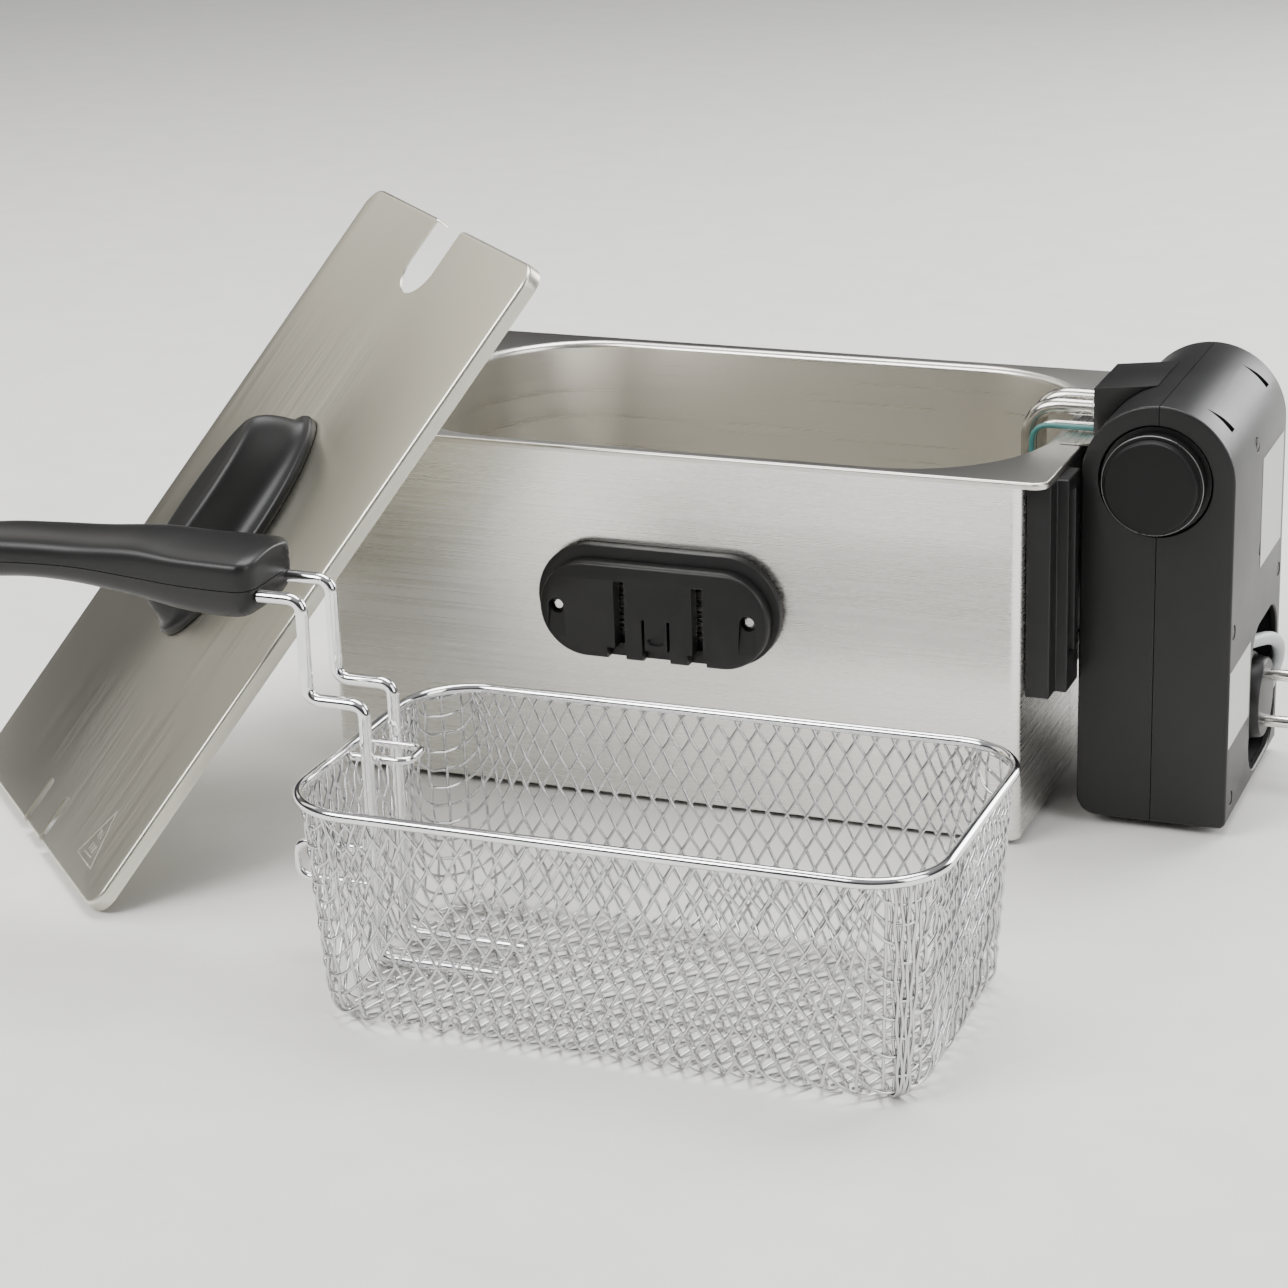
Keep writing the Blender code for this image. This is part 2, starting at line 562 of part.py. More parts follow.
def shell_screws(parent):
    """Screws sunk below the outer shell's face, each in its own counterbore."""
    face = UNIT_X + UNIT_HALF_THICKNESS
    outer = bpy.data.objects["control_shell_outer"]
    for index, (y, z) in enumerate(SCREW_PLACES, start=1):
        bore = sideways(arc_loop(y, z, SHELL_SCREW_RADIUS + 0.0005, 10), face - 0.0014, face + 0.0020)
        cut(outer, bore, f"shell_bore_{index}")
        head = [(face - 0.0011, SHELL_SCREW_RADIUS), (face - 0.0004, SHELL_SCREW_RADIUS),
                (face - 0.0002, SHELL_SCREW_RADIUS * 0.72)]
        mesh_object(f"shell_screw_{index}", turned(head, "X", 10), ZINC, parent, (0.0, y, z))


def element_head(parent):
    """The block over the bowl's flange that carries the tubes, hollowed to sit against the round top."""
    clear = UNIT_HALF_THICKNESS + GAP
    start = pi - asin((HEAD_Z0 - UNIT_AXIS_Z) / clear)
    end = pi - asin((HEAD_Z1 + HEAD_RISE - UNIT_AXIS_Z) / clear)
    seat = arc(UNIT_X, UNIT_AXIS_Z, clear, start, end, 8)
    outline = [(HEAD_X0, HEAD_Z0)] + seat + [(HEAD_X0 + HEAD_CHAMFER, HEAD_Z1), (HEAD_X0, HEAD_Z1 - HEAD_CHAMFER)]
    mesh_object("element_head", upright(outline, -HEAD_HALF_WIDTH, HEAD_HALF_WIDTH), BLACK, parent, smooth_below=20)
    plate = block(0.1430, 0.1570, -0.0290, 0.0220, FLANGE_TOP + GAP, FLANGE_TOP + 0.0011)
    mesh_object("element_rest_plate", plate, STEEL, parent)


def heating_element(parent):
    """One bent tube: over the flange, down the end wall, in four rows over the floor, and back."""
    start_x, turn_x, far_x, near_x = HEAD_X0 - GAP, 0.0920, -0.1000, 0.0620
    rows = (0.0470, 0.0170, -0.0140, -0.0440)
    first, last = TUBE_Y
    corners = [
        (start_x, first, TUBE_Z), (TUBE_DROP_X, first, TUBE_Z), (TUBE_DROP_X, first, ELEMENT_Z),
        (turn_x, first, ELEMENT_Z), (turn_x, rows[0], ELEMENT_Z), (far_x, rows[0], ELEMENT_Z),
        (far_x, rows[1], ELEMENT_Z), (near_x, rows[1], ELEMENT_Z), (near_x, rows[2], ELEMENT_Z),
        (far_x, rows[2], ELEMENT_Z), (far_x, rows[3], ELEMENT_Z), (turn_x, rows[3], ELEMENT_Z),
        (turn_x, last, ELEMENT_Z), (TUBE_DROP_X, last, ELEMENT_Z), (TUBE_DROP_X, last, TUBE_Z),
        (start_x, last, TUBE_Z),
    ]
    wire("heating_element", filleted(corners, 0.0180), TUBE_RADIUS, ELEMENT, parent)


def sensing_tube(parent, name, y, z, drop_x, bulb_z, finish):
    """A thin capillary from the head, over the flange and down, ending in a fatter bulb over the element."""
    bulb_x0, bulb_x1 = 0.0500, 0.1050
    route = filleted([(HEAD_X0 - GAP, y, z), (drop_x, y, z), (drop_x, y, bulb_z), (bulb_x1, y, bulb_z)], 0.0080)
    scales = [1.0] * len(route)
    route += [(bulb_x1 - 0.0020, y, bulb_z), (bulb_x0 + 0.0020, y, bulb_z), (bulb_x0, y, bulb_z)]
    scales += [BULB_SCALE, BULB_SCALE, 1.0]
    wire(name, route, CAPILLARY_RADIUS, finish, parent, scales=scales)


def internals(parent):
    """What the case hides: the thermostat, the cut-out, the microswitch and the terminal block."""
    mesh_object("thermostat", block(0.1730, 0.2000, -0.0420, -0.0200, 0.1300, 0.1550), BLACK, parent)
    mesh_object("thermal_cutout", block(0.1760, 0.1940, -0.0120, 0.0080, 0.1300, 0.1500), CERAMIC, parent)
    mesh_object("safety_microswitch", block(0.1640, 0.1710, -0.0100, 0.0100, 0.1100, 0.1220), BLACK, parent)
    mesh_object("terminal_block", block(0.1760, 0.1980, 0.0140, 0.0400, 0.1150, 0.1310), CERAMIC, parent)


def dial_plate(parent):
    front = -UNIT_HALF_DEPTH
    plate = mesh_object("dial_plate", upright(arc_loop(KNOB_X, UNIT_AXIS_Z, WELL_RADIUS - GAP, 32), front + 0.0012,
                                              front + 0.0028), BLACK, parent)
    cut(plate, upright(arc_loop(KNOB_X, UNIT_AXIS_Z, SHAFT_RADIUS + 0.0006, 16), front, front + 0.0050), "shaft_hole")


def knob(parent):
    """The dial, turned about the axis that its parent empty stands on."""
    front = -UNIT_HALF_DEPTH
    back, face = front + 0.0006, front - KNOB_HEIGHT
    step = face + KNOB_FACE_RISE
    profile = [(back, KNOB_RADIUS), (step + 0.0005, KNOB_RADIUS), (step, KNOB_RADIUS - 0.0004),
               (step, KNOB_FACE_RADIUS + 0.0002), (face + 0.0006, KNOB_FACE_RADIUS), (face, KNOB_FACE_RADIUS - 0.0008)]
    mesh_object("thermostat_knob", turned(profile, "Y", 40), KNOB_BLACK, parent)
    shaft = [(back + GAP, SHAFT_RADIUS), (back + GAP + SHAFT_LENGTH, SHAFT_RADIUS)]
    mesh_object("thermostat_shaft", turned(shaft, "Y", 16), ZINC, parent)


def reset_button(parent):
    profile = [(0.0450, BUTTON_RADIUS), (0.0508, BUTTON_RADIUS), (0.0515, BUTTON_RADIUS - 0.0007)]
    mesh_object("reset_button", turned(profile, "Y", 16), RED, parent)


# ---------------------------------------------------------------- cord and its compartment


def cord_tray(parent):
    """The open box behind the recess, with a round hole in its ceiling for the strain relief."""

    def section(inset, x):
        half_z, mid_z = (TRAY_Z1 - TRAY_Z0) / 2, (TRAY_Z1 + TRAY_Z0) / 2
        return [(x, y, z) for y, z in rounded_rectangle(TRAY_HALF_Y - inset, half_z - inset, 0.0030, 2, (0, mid_z))]

    skin = [section(0, TRAY_X0), section(0, TRAY_X1), section(TRAY_WALL, TRAY_X1),
            section(TRAY_WALL, TRAY_X0 + TRAY_WALL)]
    tray = mesh_object("cord_tray", loft(skin), BLACK, parent, smooth_below=20)
    hole = prism(arc_loop(COIL_FIRST_X, -COIL_RADIUS, 0.0050, 16), TRAY_Z1 - 0.0050, TRAY_Z1 + 0.0050)
    cut(tray, hole, "gland_hole")


def cord_gland(parent):
    """The strain relief, tapering towards the coil."""
    profile = [(GLAND_Z0, CORD_RADIUS + 0.0005), (TRAY_Z1 - 0.0020, 0.0042), (TRAY_Z1 + GAP, 0.0046),
               (TRAY_Z1 + 0.0030, 0.0046)]
    mesh_object("cord_gland", turned(profile, "Z", 16), BLACK, parent, (COIL_FIRST_X, -COIL_RADIUS, 0.0))


def cord_coil(parent):
    """The outer shape of the turns wound side by side."""
    x0 = COIL_FIRST_X - CORD_RADIUS - 0.0001
    x1 = x0 + COIL_TURNS * COIL_PITCH
    rings = []
    for x, radius in ((x0, COIL_RADIUS + CORD_RADIUS), (x1, COIL_RADIUS + CORD_RADIUS),
                      (x1, COIL_RADIUS - CORD_RADIUS), (x0, COIL_RADIUS - CORD_RADIUS)):
        rings.append([(x, y, z) for y, z in arc_loop(0.0, COIL_Z, radius, 48)])
    mesh_object("cord_coil", loft(rings, closed=True), CORD_GREY, parent)


def power_cord(parent):
    """The lead's free stretch: off the coil, out over the plug, round and into the plug's boot."""
    wire("power_cord", smooth_curve(CORD_ROUTE, 0.0100), CORD_RADIUS, CORD_GREY, parent, resolution=3)


def power_plug(parent):
    """A round plug with its pins out of the recess, and a boot on its edge towards the lead's end."""
    body = turned([(PLUG_X0, PLUG_RADIUS - 0.0030), (PLUG_X0 + 0.0030, PLUG_RADIUS), (PLUG_X1 - 0.0060, PLUG_RADIUS),
                   (PLUG_X1 - 0.0060, PLUG_RADIUS - 0.0015), (PLUG_X1, PLUG_RADIUS - 0.0020)], "X", 32)
    mesh_object("power_plug", body, BLACK, parent, (0.0, PLUG_Y, PLUG_Z))
    end = Vector(CORD_ROUTE[-1])
    heading = (end - Vector(CORD_ROUTE[-2])).normalized()
    start = end + heading * GAP
    boot = [start + heading * step for step in (0.0, 0.0070, BOOT_LENGTH)]
    wire("plug_boot", boot, CORD_RADIUS, BLACK, parent, scales=[1.15, 1.3, 1.7], resolution=3)
    for sign, name in ((1, "upper"), (-1, "lower")):
        pin = [(PLUG_X1 + GAP, PIN_RADIUS), (PLUG_X1 + PIN_LENGTH - 0.0015, PIN_RADIUS),
               (PLUG_X1 + PIN_LENGTH, PIN_RADIUS - 0.0010)]
        place = (0.0, PLUG_Y + sign * PIN_SPACING / 2 * sin(PIN_TILT), PLUG_Z + sign * PIN_SPACING / 2 * cos(PIN_TILT))
        mesh_object(f"plug_pin_{name}", turned(pin, "X", 14), PIN_METAL, parent, place)


# ---------------------------------------------------------------- lid


def lid_sheet(parent):
    """A pressed sheet with a turned-down skirt, a round-ended notch at one end and two slots at the other."""

    def outline(inset, z):
        return level(rounded_rectangle(LID_WIDTH / 2 - inset, LID_LENGTH / 2 - inset, max(LID_CORNER - inset, 0.001),
                                       centre=(LID_WIDTH / 2, LID_LENGTH / 2)), z)

    skin = [outline(0.0016, 0.0), outline(0.0005, -0.0005), outline(0.0, -0.0016), outline(0.0, -LID_SKIRT),
            outline(LID_SHEET, -LID_SKIRT), outline(LID_SHEET, -LID_SHEET)]
    lid = mesh_object("lid_sheet", loft(skin), STEEL, parent)
    middle, end = LID_WIDTH / 2, LID_LENGTH - LID_NOTCH_DEPTH + LID_NOTCH_HALF_WIDTH
    notch = arc(middle, end, LID_NOTCH_HALF_WIDTH, pi, 2 * pi, 12)
    notch += [(middle + LID_NOTCH_HALF_WIDTH, LID_LENGTH + 0.01), (middle - LID_NOTCH_HALF_WIDTH, LID_LENGTH + 0.01)]
    cut(lid, prism(notch, -0.02, 0.01), "lid_notch")
    for side, name in ((-1, "left"), (1, "right")):
        x = middle + side * LID_SLOT_SPACING / 2
        slot = arc(x, LID_SLOT_LENGTH - LID_SLOT_WIDTH / 2, LID_SLOT_WIDTH / 2, 0, pi, 8)
        slot += [(x - LID_SLOT_WIDTH / 2, -0.01), (x + LID_SLOT_WIDTH / 2, -0.01)]
        cut(lid, prism(slot, -0.02, 0.01), f"lid_slot_{name}")


def lid_handle(parent):
    """A flat oval foot that sweeps up into a long grip for the fingers."""
    cx, cy = LID_HANDLE_PLACE
    rings = [[(cx + half_x * x, cy + half_y * y, z) for x, y in arc_loop(0.0, 0.0, 1.0, 32)]
             for half_x, half_y, z in LID_HANDLE_SECTIONS]
    mesh_object("lid_handle", loft(rings), BLACK, parent)
    for side, name in ((-1, "lower"), (1, "upper")):
        head = [(-LID_SHEET - 0.0024, 0.0026), (-LID_SHEET - 0.0018, 0.0038), (-LID_SHEET - GAP, 0.0038)]
        place = (LID_HANDLE_PLACE[0], LID_HANDLE_PLACE[1] + side * 0.0300, 0.0)
        mesh_object(f"lid_screw_{name}", turned(head, "Z", 12), ZINC, parent, place)


# ---------------------------------------------------------------- basket


def basket_tub(parent):
    """The mesh basket's outer shape: drafted walls with round corners, open at the top."""
    height = BASKET_HEIGHT - RIM_RADIUS - GAP

    def profile(inset):
        """Inset and height from the rim down the wall and round the fold at its foot."""
        rows = [(inset, height), (BASKET_TAPER / 2 + inset, (height + BASKET_FOLD) / 2)]
        for i in range(5):
            angle = pi / 2 * i / 4
            fold = BASKET_FOLD - inset
            rows.append((BASKET_TAPER + inset + fold * (1 - cos(angle)), inset + fold - fold * sin(angle)))
        return rows

    def ring(inset, z):
        half_x, half_y = BASKET_HALF_LENGTH - RIM_RADIUS - inset, BASKET_HALF_WIDTH - RIM_RADIUS - inset
        return level(rounded_rectangle(half_x, half_y, BASKET_CORNER - inset), z)

    outside = [ring(inset, z) for inset, z in reversed(profile(0.0))]
    inside = [ring(inset, z) for inset, z in profile(BASKET_WALL)]
    mesh_object("basket_tub", loft(outside + inside), CHROME, parent)


def basket_rim(parent):
    outline = rounded_rectangle(BASKET_HALF_LENGTH - RIM_RADIUS, BASKET_HALF_WIDTH - RIM_RADIUS, BASKET_CORNER, 8)
    wire("basket_rim", level(outline, BASKET_HEIGHT), RIM_RADIUS, CHROME, parent, cyclic=True)


def basket_wires(parent):
    """The handle's two wires, the loop that braces them on the rim, and the hook on the basket's end."""
    grip_x, end_x = GRIP_X1 + GAP - BASKET_X, -BASKET_X
    first_x, second_x = -0.0692 - BASKET_X, -0.0472 - BASKET_X
    rim_x = -BASKET_HALF_LENGTH + 2 * RIM_RADIUS + GAP
    for side, row in ((-1, "front"), (1, "rear")):
        y = side * HANDLE_WIRE_Y
        corners = [(grip_x, y, WIRE_TOP_Z), (first_x, y, WIRE_TOP_Z), (first_x, y, WIRE_STEP_Z),
                   (second_x, y, WIRE_STEP_Z), (second_x, y, WIRE_FLOOR_Z), (end_x, y, WIRE_FLOOR_Z)]
        wire(f"handle_wire_{row}", filleted(corners, HANDLE_WIRE_BEND), HANDLE_WIRE_RADIUS, CHROME, parent)
    loop = [(rim_x, -BRACE_Y, BRACE_Z), (rim_x + BRACE_LENGTH, -BRACE_Y, BRACE_Z),
            (rim_x + BRACE_LENGTH, BRACE_Y, BRACE_Z), (rim_x, BRACE_Y, BRACE_Z)]
    wire("brace_loop", filleted(loop, 0.0050), BRACE_RADIUS, CHROME, parent)
    out_x, wall_x = -0.0840 - BASKET_X, -0.0562 - BASKET_X
    hook = [(wall_x, 0.0, 0.0415), (out_x, 0.0, 0.0415), (out_x, 0.0, 0.0275), (wall_x + 0.0006, 0.0, 0.0275)]
    wire("drain_hook", filleted(hook, 0.0060), BRACE_RADIUS, CHROME, parent)


def grip_halves(parent):
    """The grip's upper and lower mouldings, lofted through sections along its length."""

    def half(name, sign):
        rings = []
        for x, width, seam, top, bottom in GRIP_SECTIONS:
            reach = top - seam if sign > 0 else seam - bottom
            ring = []
            for i in range(GRIP_STEPS + 1):
                angle = pi * i / GRIP_STEPS
                across = width * abs(cos(angle)) ** GRIP_SQUARENESS * (1 if 2 * i < GRIP_STEPS else -1)
                along = sin(angle) ** GRIP_SQUARENESS if 0 < i < GRIP_STEPS else 0.0
                ring.append((x - BASKET_X, across, seam + sign * (GAP / 2 + (reach - GAP / 2) * along)))
            rings.append(ring)
        mesh_object(name, loft(rings), GLOSS_BLACK, parent, smooth_below=50)

    half("grip_upper", 1)
    half("grip_lower", -1)


# ---------------------------------------------------------------- the whole object


def lid_matrix():
    """The lid's own frame: x across, y up its length, z out of its face, standing on its skirt's edge."""
    across = Vector((-cos(LID_HEADING), -sin(LID_HEADING), 0.0))
    up_slope = Vector((sin(LID_HEADING) * cos(LID_SLOPE), -cos(LID_HEADING) * cos(LID_SLOPE), sin(LID_SLOPE)))
    outward = across.cross(up_slope)
    matrix = Matrix((across, up_slope, outward)).transposed().to_4x4()
    near_corner = Vector((LID_CORNER_X, LID_CORNER_Y, LID_SKIRT * outward.z))
    matrix.translation = near_corner - across * LID_WIDTH
    return matrix


def build():
    clear_scene()
    layout = empty("layout", (-CENTRE_X, -CENTRE_Y, 0.0))
    outer_housing(layout)
    base_plate(layout)
    feet(layout)
    rail_bracket(layout)
    side_handle(layout, -1, "front")
    side_handle(layout, 1, "rear")
    oil_bowl(layout)
    control_shells(layout)
    shell_screws(layout)
    element_head(layout)
    heating_element(layout)
    sensing_tube(layout, "thermostat_probe", PROBE_Y, PROBE_Z, PROBE_DROP_X, PROBE_BULB_Z, TEAL)
    sensing_tube(layout, "cutout_probe", CUTOUT_Y, CUTOUT_Z, CUTOUT_DROP_X, CUTOUT_BULB_Z, ELEMENT)
    internals(layout)
    dial_plate(layout)
    knob(empty("knob_axis", (KNOB_X, 0.0, UNIT_AXIS_Z), layout))
    reset_button(empty("button_axis", (BUTTON_X, 0.0, BUTTON_Z), layout))
    cord_tray(layout)
    cord_gland(layout)
    cord_coil(layout)
    power_cord(layout)
    power_plug(layout)
    lid_frame = empty("lid_frame", parent=layout, matrix=lid_matrix())
    lid_sheet(lid_frame)
    lid_handle(lid_frame)
    basket_frame = empty("basket_frame", (BASKET_X, BASKET_Y, 0.0), layout)
    basket_tub(basket_frame)
    basket_rim(basket_frame)
    basket_wires(basket_frame)
    grip_halves(basket_frame)
    bpy.context.view_layer.update()


build()
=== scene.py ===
"""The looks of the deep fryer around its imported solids: finer pieces, materials, light and camera.

Metres, +Z up.  Pieces are made in the layout frame, whose origin is on the floor under the middle of the
housing, and moved to the row's frame by OFFSET.
"""

from math import asin, atan2, cos, pi, radians, sin, sqrt

import bmesh
import bpy
from mathutils import Matrix, Vector


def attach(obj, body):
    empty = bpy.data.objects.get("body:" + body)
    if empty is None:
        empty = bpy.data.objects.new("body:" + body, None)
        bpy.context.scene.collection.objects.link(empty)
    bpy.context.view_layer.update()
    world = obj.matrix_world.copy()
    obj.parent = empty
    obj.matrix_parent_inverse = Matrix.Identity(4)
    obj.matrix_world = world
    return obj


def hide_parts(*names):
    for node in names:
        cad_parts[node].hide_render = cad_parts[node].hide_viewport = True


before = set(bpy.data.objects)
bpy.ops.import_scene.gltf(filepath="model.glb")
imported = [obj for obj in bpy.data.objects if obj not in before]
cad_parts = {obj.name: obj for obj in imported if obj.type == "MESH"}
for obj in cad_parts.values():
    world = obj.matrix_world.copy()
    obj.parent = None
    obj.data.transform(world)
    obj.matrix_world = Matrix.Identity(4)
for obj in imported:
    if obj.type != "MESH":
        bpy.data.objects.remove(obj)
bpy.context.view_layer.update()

OFFSET = Vector((0.0377, 0.1086, 0.0))
GAP = 0.0003

# Housing
HOUSING_X0, HOUSING_X1, HOUSING_HALF_WIDTH = -0.1500, 0.1425, 0.0810
HOUSING_WALL, HOUSING_CORNER, HOUSING_Z0, SEAM_Y = 0.0010, 0.0045, 0.0020, -0.0025
BRACKET_HALF_WIDTH, BRACKET_Z0, RAIL_OUTER, RAIL_INNER = 0.0745, 0.0600, 0.0655, 0.0480

# Oil bowl
FLANGE_HALF_LENGTH, FLANGE_HALF_WIDTH = 0.15225, 0.0820
FLANGE_TOP, FLANGE_LIP, FLANGE_CORNER = 0.1480, 0.0025, 0.0060
BOWL_SHEET, LIP_SHEET = 0.0010, 0.0007
OPENING_CENTRE_X = 0.0032
OPENING_HALF_LENGTH, OPENING_HALF_WIDTH, OPENING_CORNER = 0.1375, 0.0775, 0.0580
BOWL_DRAFT, BOWL_FLOOR, BOWL_FLOOR_RADIUS, ROLL_RADIUS = 0.0065, 0.0270, 0.0180, 0.0030

# Control unit
UNIT_X, UNIT_HALF_THICKNESS, UNIT_HALF_DEPTH = 0.1870, 0.0295, 0.0500
UNIT_Z0, UNIT_Z1, UNIT_WALL = 0.0040, 0.1720, 0.0025
UNIT_AXIS_Z = UNIT_Z1 - UNIT_HALF_THICKNESS
UNIT_CORNER_INNER, UNIT_CORNER_OUTER = 0.0080, 0.0030
KNOB_X, KNOB_RADIUS, KNOB_FACE_RADIUS, KNOB_HEIGHT, KNOB_FACE_RISE = 0.1862, 0.0195, 0.0179, 0.0095, 0.0035
WELL_RADIUS = 0.0215
BUTTON_X, BUTTON_Z, BUTTON_RADIUS = 0.1740, 0.1050, 0.0035
HEAD_HALF_WIDTH, HEAD_X0, HEAD_Z0, HEAD_Z1, HEAD_RISE = 0.0190, 0.1545, 0.1496, 0.1685, 0.0028
SCREW_PLACES = ((-0.0071, 0.1472), (0.0043, 0.1020), (0.0440, 0.0804), (-0.0440, 0.0832), (-0.0400, 0.0134))
RECESS_Y, RECESS_Z = 0.0190, 0.0385
RECESS_HALF_Y, RECESS_HALF_Z, RECESS_CORNER = 0.0260, 0.0305, 0.0150
VENT_Y = (-0.0330, 0.0330)

# Heating element
TUBE_RADIUS, TUBE_Z, TUBE_Y, TUBE_DROP_X, ELEMENT_Z = 0.0032, 0.1570, (0.0090, -0.0060), 0.1255, 0.0460
CAPILLARY_RADIUS, BULB_SCALE = 0.0011, 2.6
PROBE_Y, PROBE_Z, PROBE_DROP_X, PROBE_BULB_Z = -0.0135, 0.1508, 0.1285, 0.0560
CUTOUT_Y, CUTOUT_Z, CUTOUT_DROP_X, CUTOUT_BULB_Z = -0.0108, 0.1514, 0.1302, 0.0645

# Cord
CORD_RADIUS = 0.00275
COIL_RADIUS, COIL_Z = 0.0310, 0.0470
COIL_FIRST_X, COIL_TURNS = 0.1723, 4.25
GLAND_Z0 = 0.0695
CORD_ROUTE = (
    (0.1956, -0.0030, 0.0162), (0.1990, 0.0030, 0.0154), (0.2026, 0.0120, 0.0130),
    (0.2063, 0.0220, 0.0135), (0.2095, 0.0310, 0.0178), (0.2125, 0.0365, 0.0250),
    (0.2160, 0.0392, 0.0360), (0.2186, 0.0383, 0.0450), (0.2193, 0.0335, 0.0525),
    (0.2176, 0.0250, 0.0575), (0.2145, 0.0140, 0.0600), (0.2110, 0.0020, 0.0616),
    (0.2083, -0.0090, 0.0626), (0.2068, -0.0194, 0.0628), (0.2066, -0.0278, 0.0611),
    (0.2066, -0.0350, 0.0564), (0.2066, -0.0397, 0.0492), (0.2066, -0.0414, 0.0408),
    (0.2066, -0.0397, 0.0324), (0.2066, -0.0350, 0.0252), (0.2066, -0.0278, 0.0205),
    (0.2066, -0.0194, 0.0188), (0.2066, -0.0137, 0.0196), (0.2066, -0.0091, 0.0214),
)
PLUG_Y, PLUG_Z, PLUG_RADIUS, PLUG_X0, PLUG_X1, BOOT_LENGTH = 0.0170, 0.0350, 0.0182, 0.1956, 0.2185, 0.0102
PIN_RADIUS, PIN_LENGTH, PIN_SPACING, PIN_TILT = 0.0024, 0.0190, 0.0190, radians(33)

# Side handles
SIDE_HANDLE_HALF_LENGTH, SIDE_HANDLE_HALF_HEIGHT = 0.0510, 0.0227
SIDE_HANDLE_X, SIDE_HANDLE_Z = -0.0028, 0.0868
SIDE_HANDLE_BASE, SIDE_HANDLE_DEPTH, SIDE_COVER_DROP = 0.0047, 0.0110, 0.0022
SIDE_SCREW_X, SIDE_SCREW_Z = (-0.0436, 0.0367), 0.0848
SIDE_SCREW_BORE, SCREW_CHANNEL_DROP = 0.0033, 0.0140
FINGER_SLOT_X, FINGER_SLOT_HALF_WIDTH, BASE_SLOT_EXTRA = (-0.0167, 0.0160), 0.0022, 0.0050
FINGER_SLOT_TOP, TONGUE_TOP, COVER_GAP_TOP, BELOW_COVER = 0.0975, 0.0824, 0.0697, 0.0550
COVER_GAPS = ((-0.0224, -0.0142), (0.0116, 0.0196))
TONGUE_GAP, TONGUE_HALF_WIDTH, TONGUE_X = (-0.0074, 0.0044), 0.0047, -0.0015

# Lid, in its own frame
LID_WIDTH, LID_LENGTH = 0.1735, 0.2940
LID_SKIRT, LID_SHEET, LID_CORNER = 0.0062, 0.0008, 0.0090
LID_CORNER_X, LID_CORNER_Y = -0.1708, -0.2501
LID_HEADING, LID_SLOPE = radians(135.93), radians(49.34)
LID_HANDLE_Y = 0.1470
LID_NOTCH_HALF_WIDTH, LID_NOTCH_DEPTH = 0.0130, 0.0330
LID_SLOT_WIDTH, LID_SLOT_LENGTH, LID_SLOT_SPACING = 0.0052, 0.0210, 0.0230
MARK_X, MARK_Y, MARK_HALF_WIDTH, MARK_HEIGHT = 0.1432, 0.0100, 0.0095, 0.0225
MARK_LINE, MARK_RISE = 0.0005, 0.00012

# Basket
BASKET_X, BASKET_Y = 0.0580, -0.2439
BASKET_HALF_LENGTH, BASKET_HALF_WIDTH, BASKET_HEIGHT = 0.1178, 0.0655, 0.0826
BASKET_CORNER, BASKET_TAPER, BASKET_FOLD = 0.0260, 0.0050, 0.0090
RIM_RADIUS, HANDLE_WIRE_RADIUS, HANDLE_WIRE_Y, HANDLE_WIRE_BEND = 0.0020, 0.0023, 0.0115, 0.0055
BRACE_RADIUS, BRACE_Y, BRACE_Z, BRACE_LENGTH = 0.0015, 0.0074, 0.0806, 0.0219
WIRE_TOP_Z, WIRE_STEP_Z, WIRE_FLOOR_Z = 0.1390, 0.1020, 0.0050
WIRE_STEP_X, WIRE_WALL_X = -0.0692, -0.0472
HOOK_X, HOOK_WALL_X, HOOK_TOP, HOOK_BOTTOM = -0.0840, -0.0562, 0.0415, 0.0275
MESH_RADIUS, WEAVE = 0.00060, 0.00045
CELL_WIDTH, CELL_HEIGHT = 0.0074, 0.0126
WIRE_SLOPE = CELL_HEIGHT / CELL_WIDTH
SQUARE_CELL, SQUARE_SLOPE, EASE_START, EASE_LENGTH = 0.0070, 0.14, 0.0040, 0.0400
GRIP_X1 = -0.0860
ROUNDER_FROM_X, ROUNDER_OVER = -0.1100, 0.1000
GRIP_SECTIONS = (
    # along X, half width, then the heights of the seam, the top and the underside
    (-0.0860, 0.0108, 0.1420, 0.1524, 0.1378),
    (-0.0862, 0.0130, 0.1420, 0.1530, 0.1364),
    (-0.0868, 0.0150, 0.1420, 0.1534, 0.1350),
    (-0.0880, 0.0167, 0.1420, 0.1537, 0.1333),
    (-0.0898, 0.0179, 0.1420, 0.1539, 0.1314),
    (-0.0922, 0.0186, 0.1420, 0.1540, 0.1303),
    (-0.1000, 0.0187, 0.1420, 0.1541, 0.1298),
    (-0.1160, 0.0180, 0.1422, 0.1543, 0.1306),
    (-0.1340, 0.0165, 0.1430, 0.1555, 0.1330),
    (-0.1570, 0.0150, 0.1440, 0.1540, 0.1352),
    (-0.1780, 0.0142, 0.1435, 0.1532, 0.1358),
    (-0.1980, 0.0138, 0.1420, 0.1520, 0.1340),
    (-0.2180, 0.0132, 0.1390, 0.1490, 0.1305),
    (-0.2270, 0.0118, 0.1370, 0.1465, 0.1290),
    (-0.2320, 0.0085, 0.1350, 0.1415, 0.1300),
)


# ---------------------------------------------------------------- camera, floor and light


def camera():
    data = bpy.data.cameras.new("camera")
    data.lens = 90.38
    data.sensor_width = 36.0
    data.clip_start = 0.05
    obj = bpy.data.objects.new("camera", data)
    bpy.context.scene.collection.objects.link(obj)
    pitch, roll, yaw = radians(19.80), radians(1.90), radians(-22.03)
    ahead = Vector((sin(yaw) * cos(pitch), cos(yaw) * cos(pitch), -sin(pitch)))
    level_right = Vector((cos(yaw), -sin(yaw), 0.0))
    level_down = ahead.cross(level_right)
    right = level_right * cos(roll) + level_down * sin(roll)
    down = level_down * cos(roll) - level_right * sin(roll)
    matrix = Matrix((right, -down, -ahead)).transposed().to_4x4()
    matrix.translation = Vector((0.4425, -1.2019, 0.50355)) + OFFSET
    obj.matrix_world = matrix
    bpy.context.scene.camera = obj


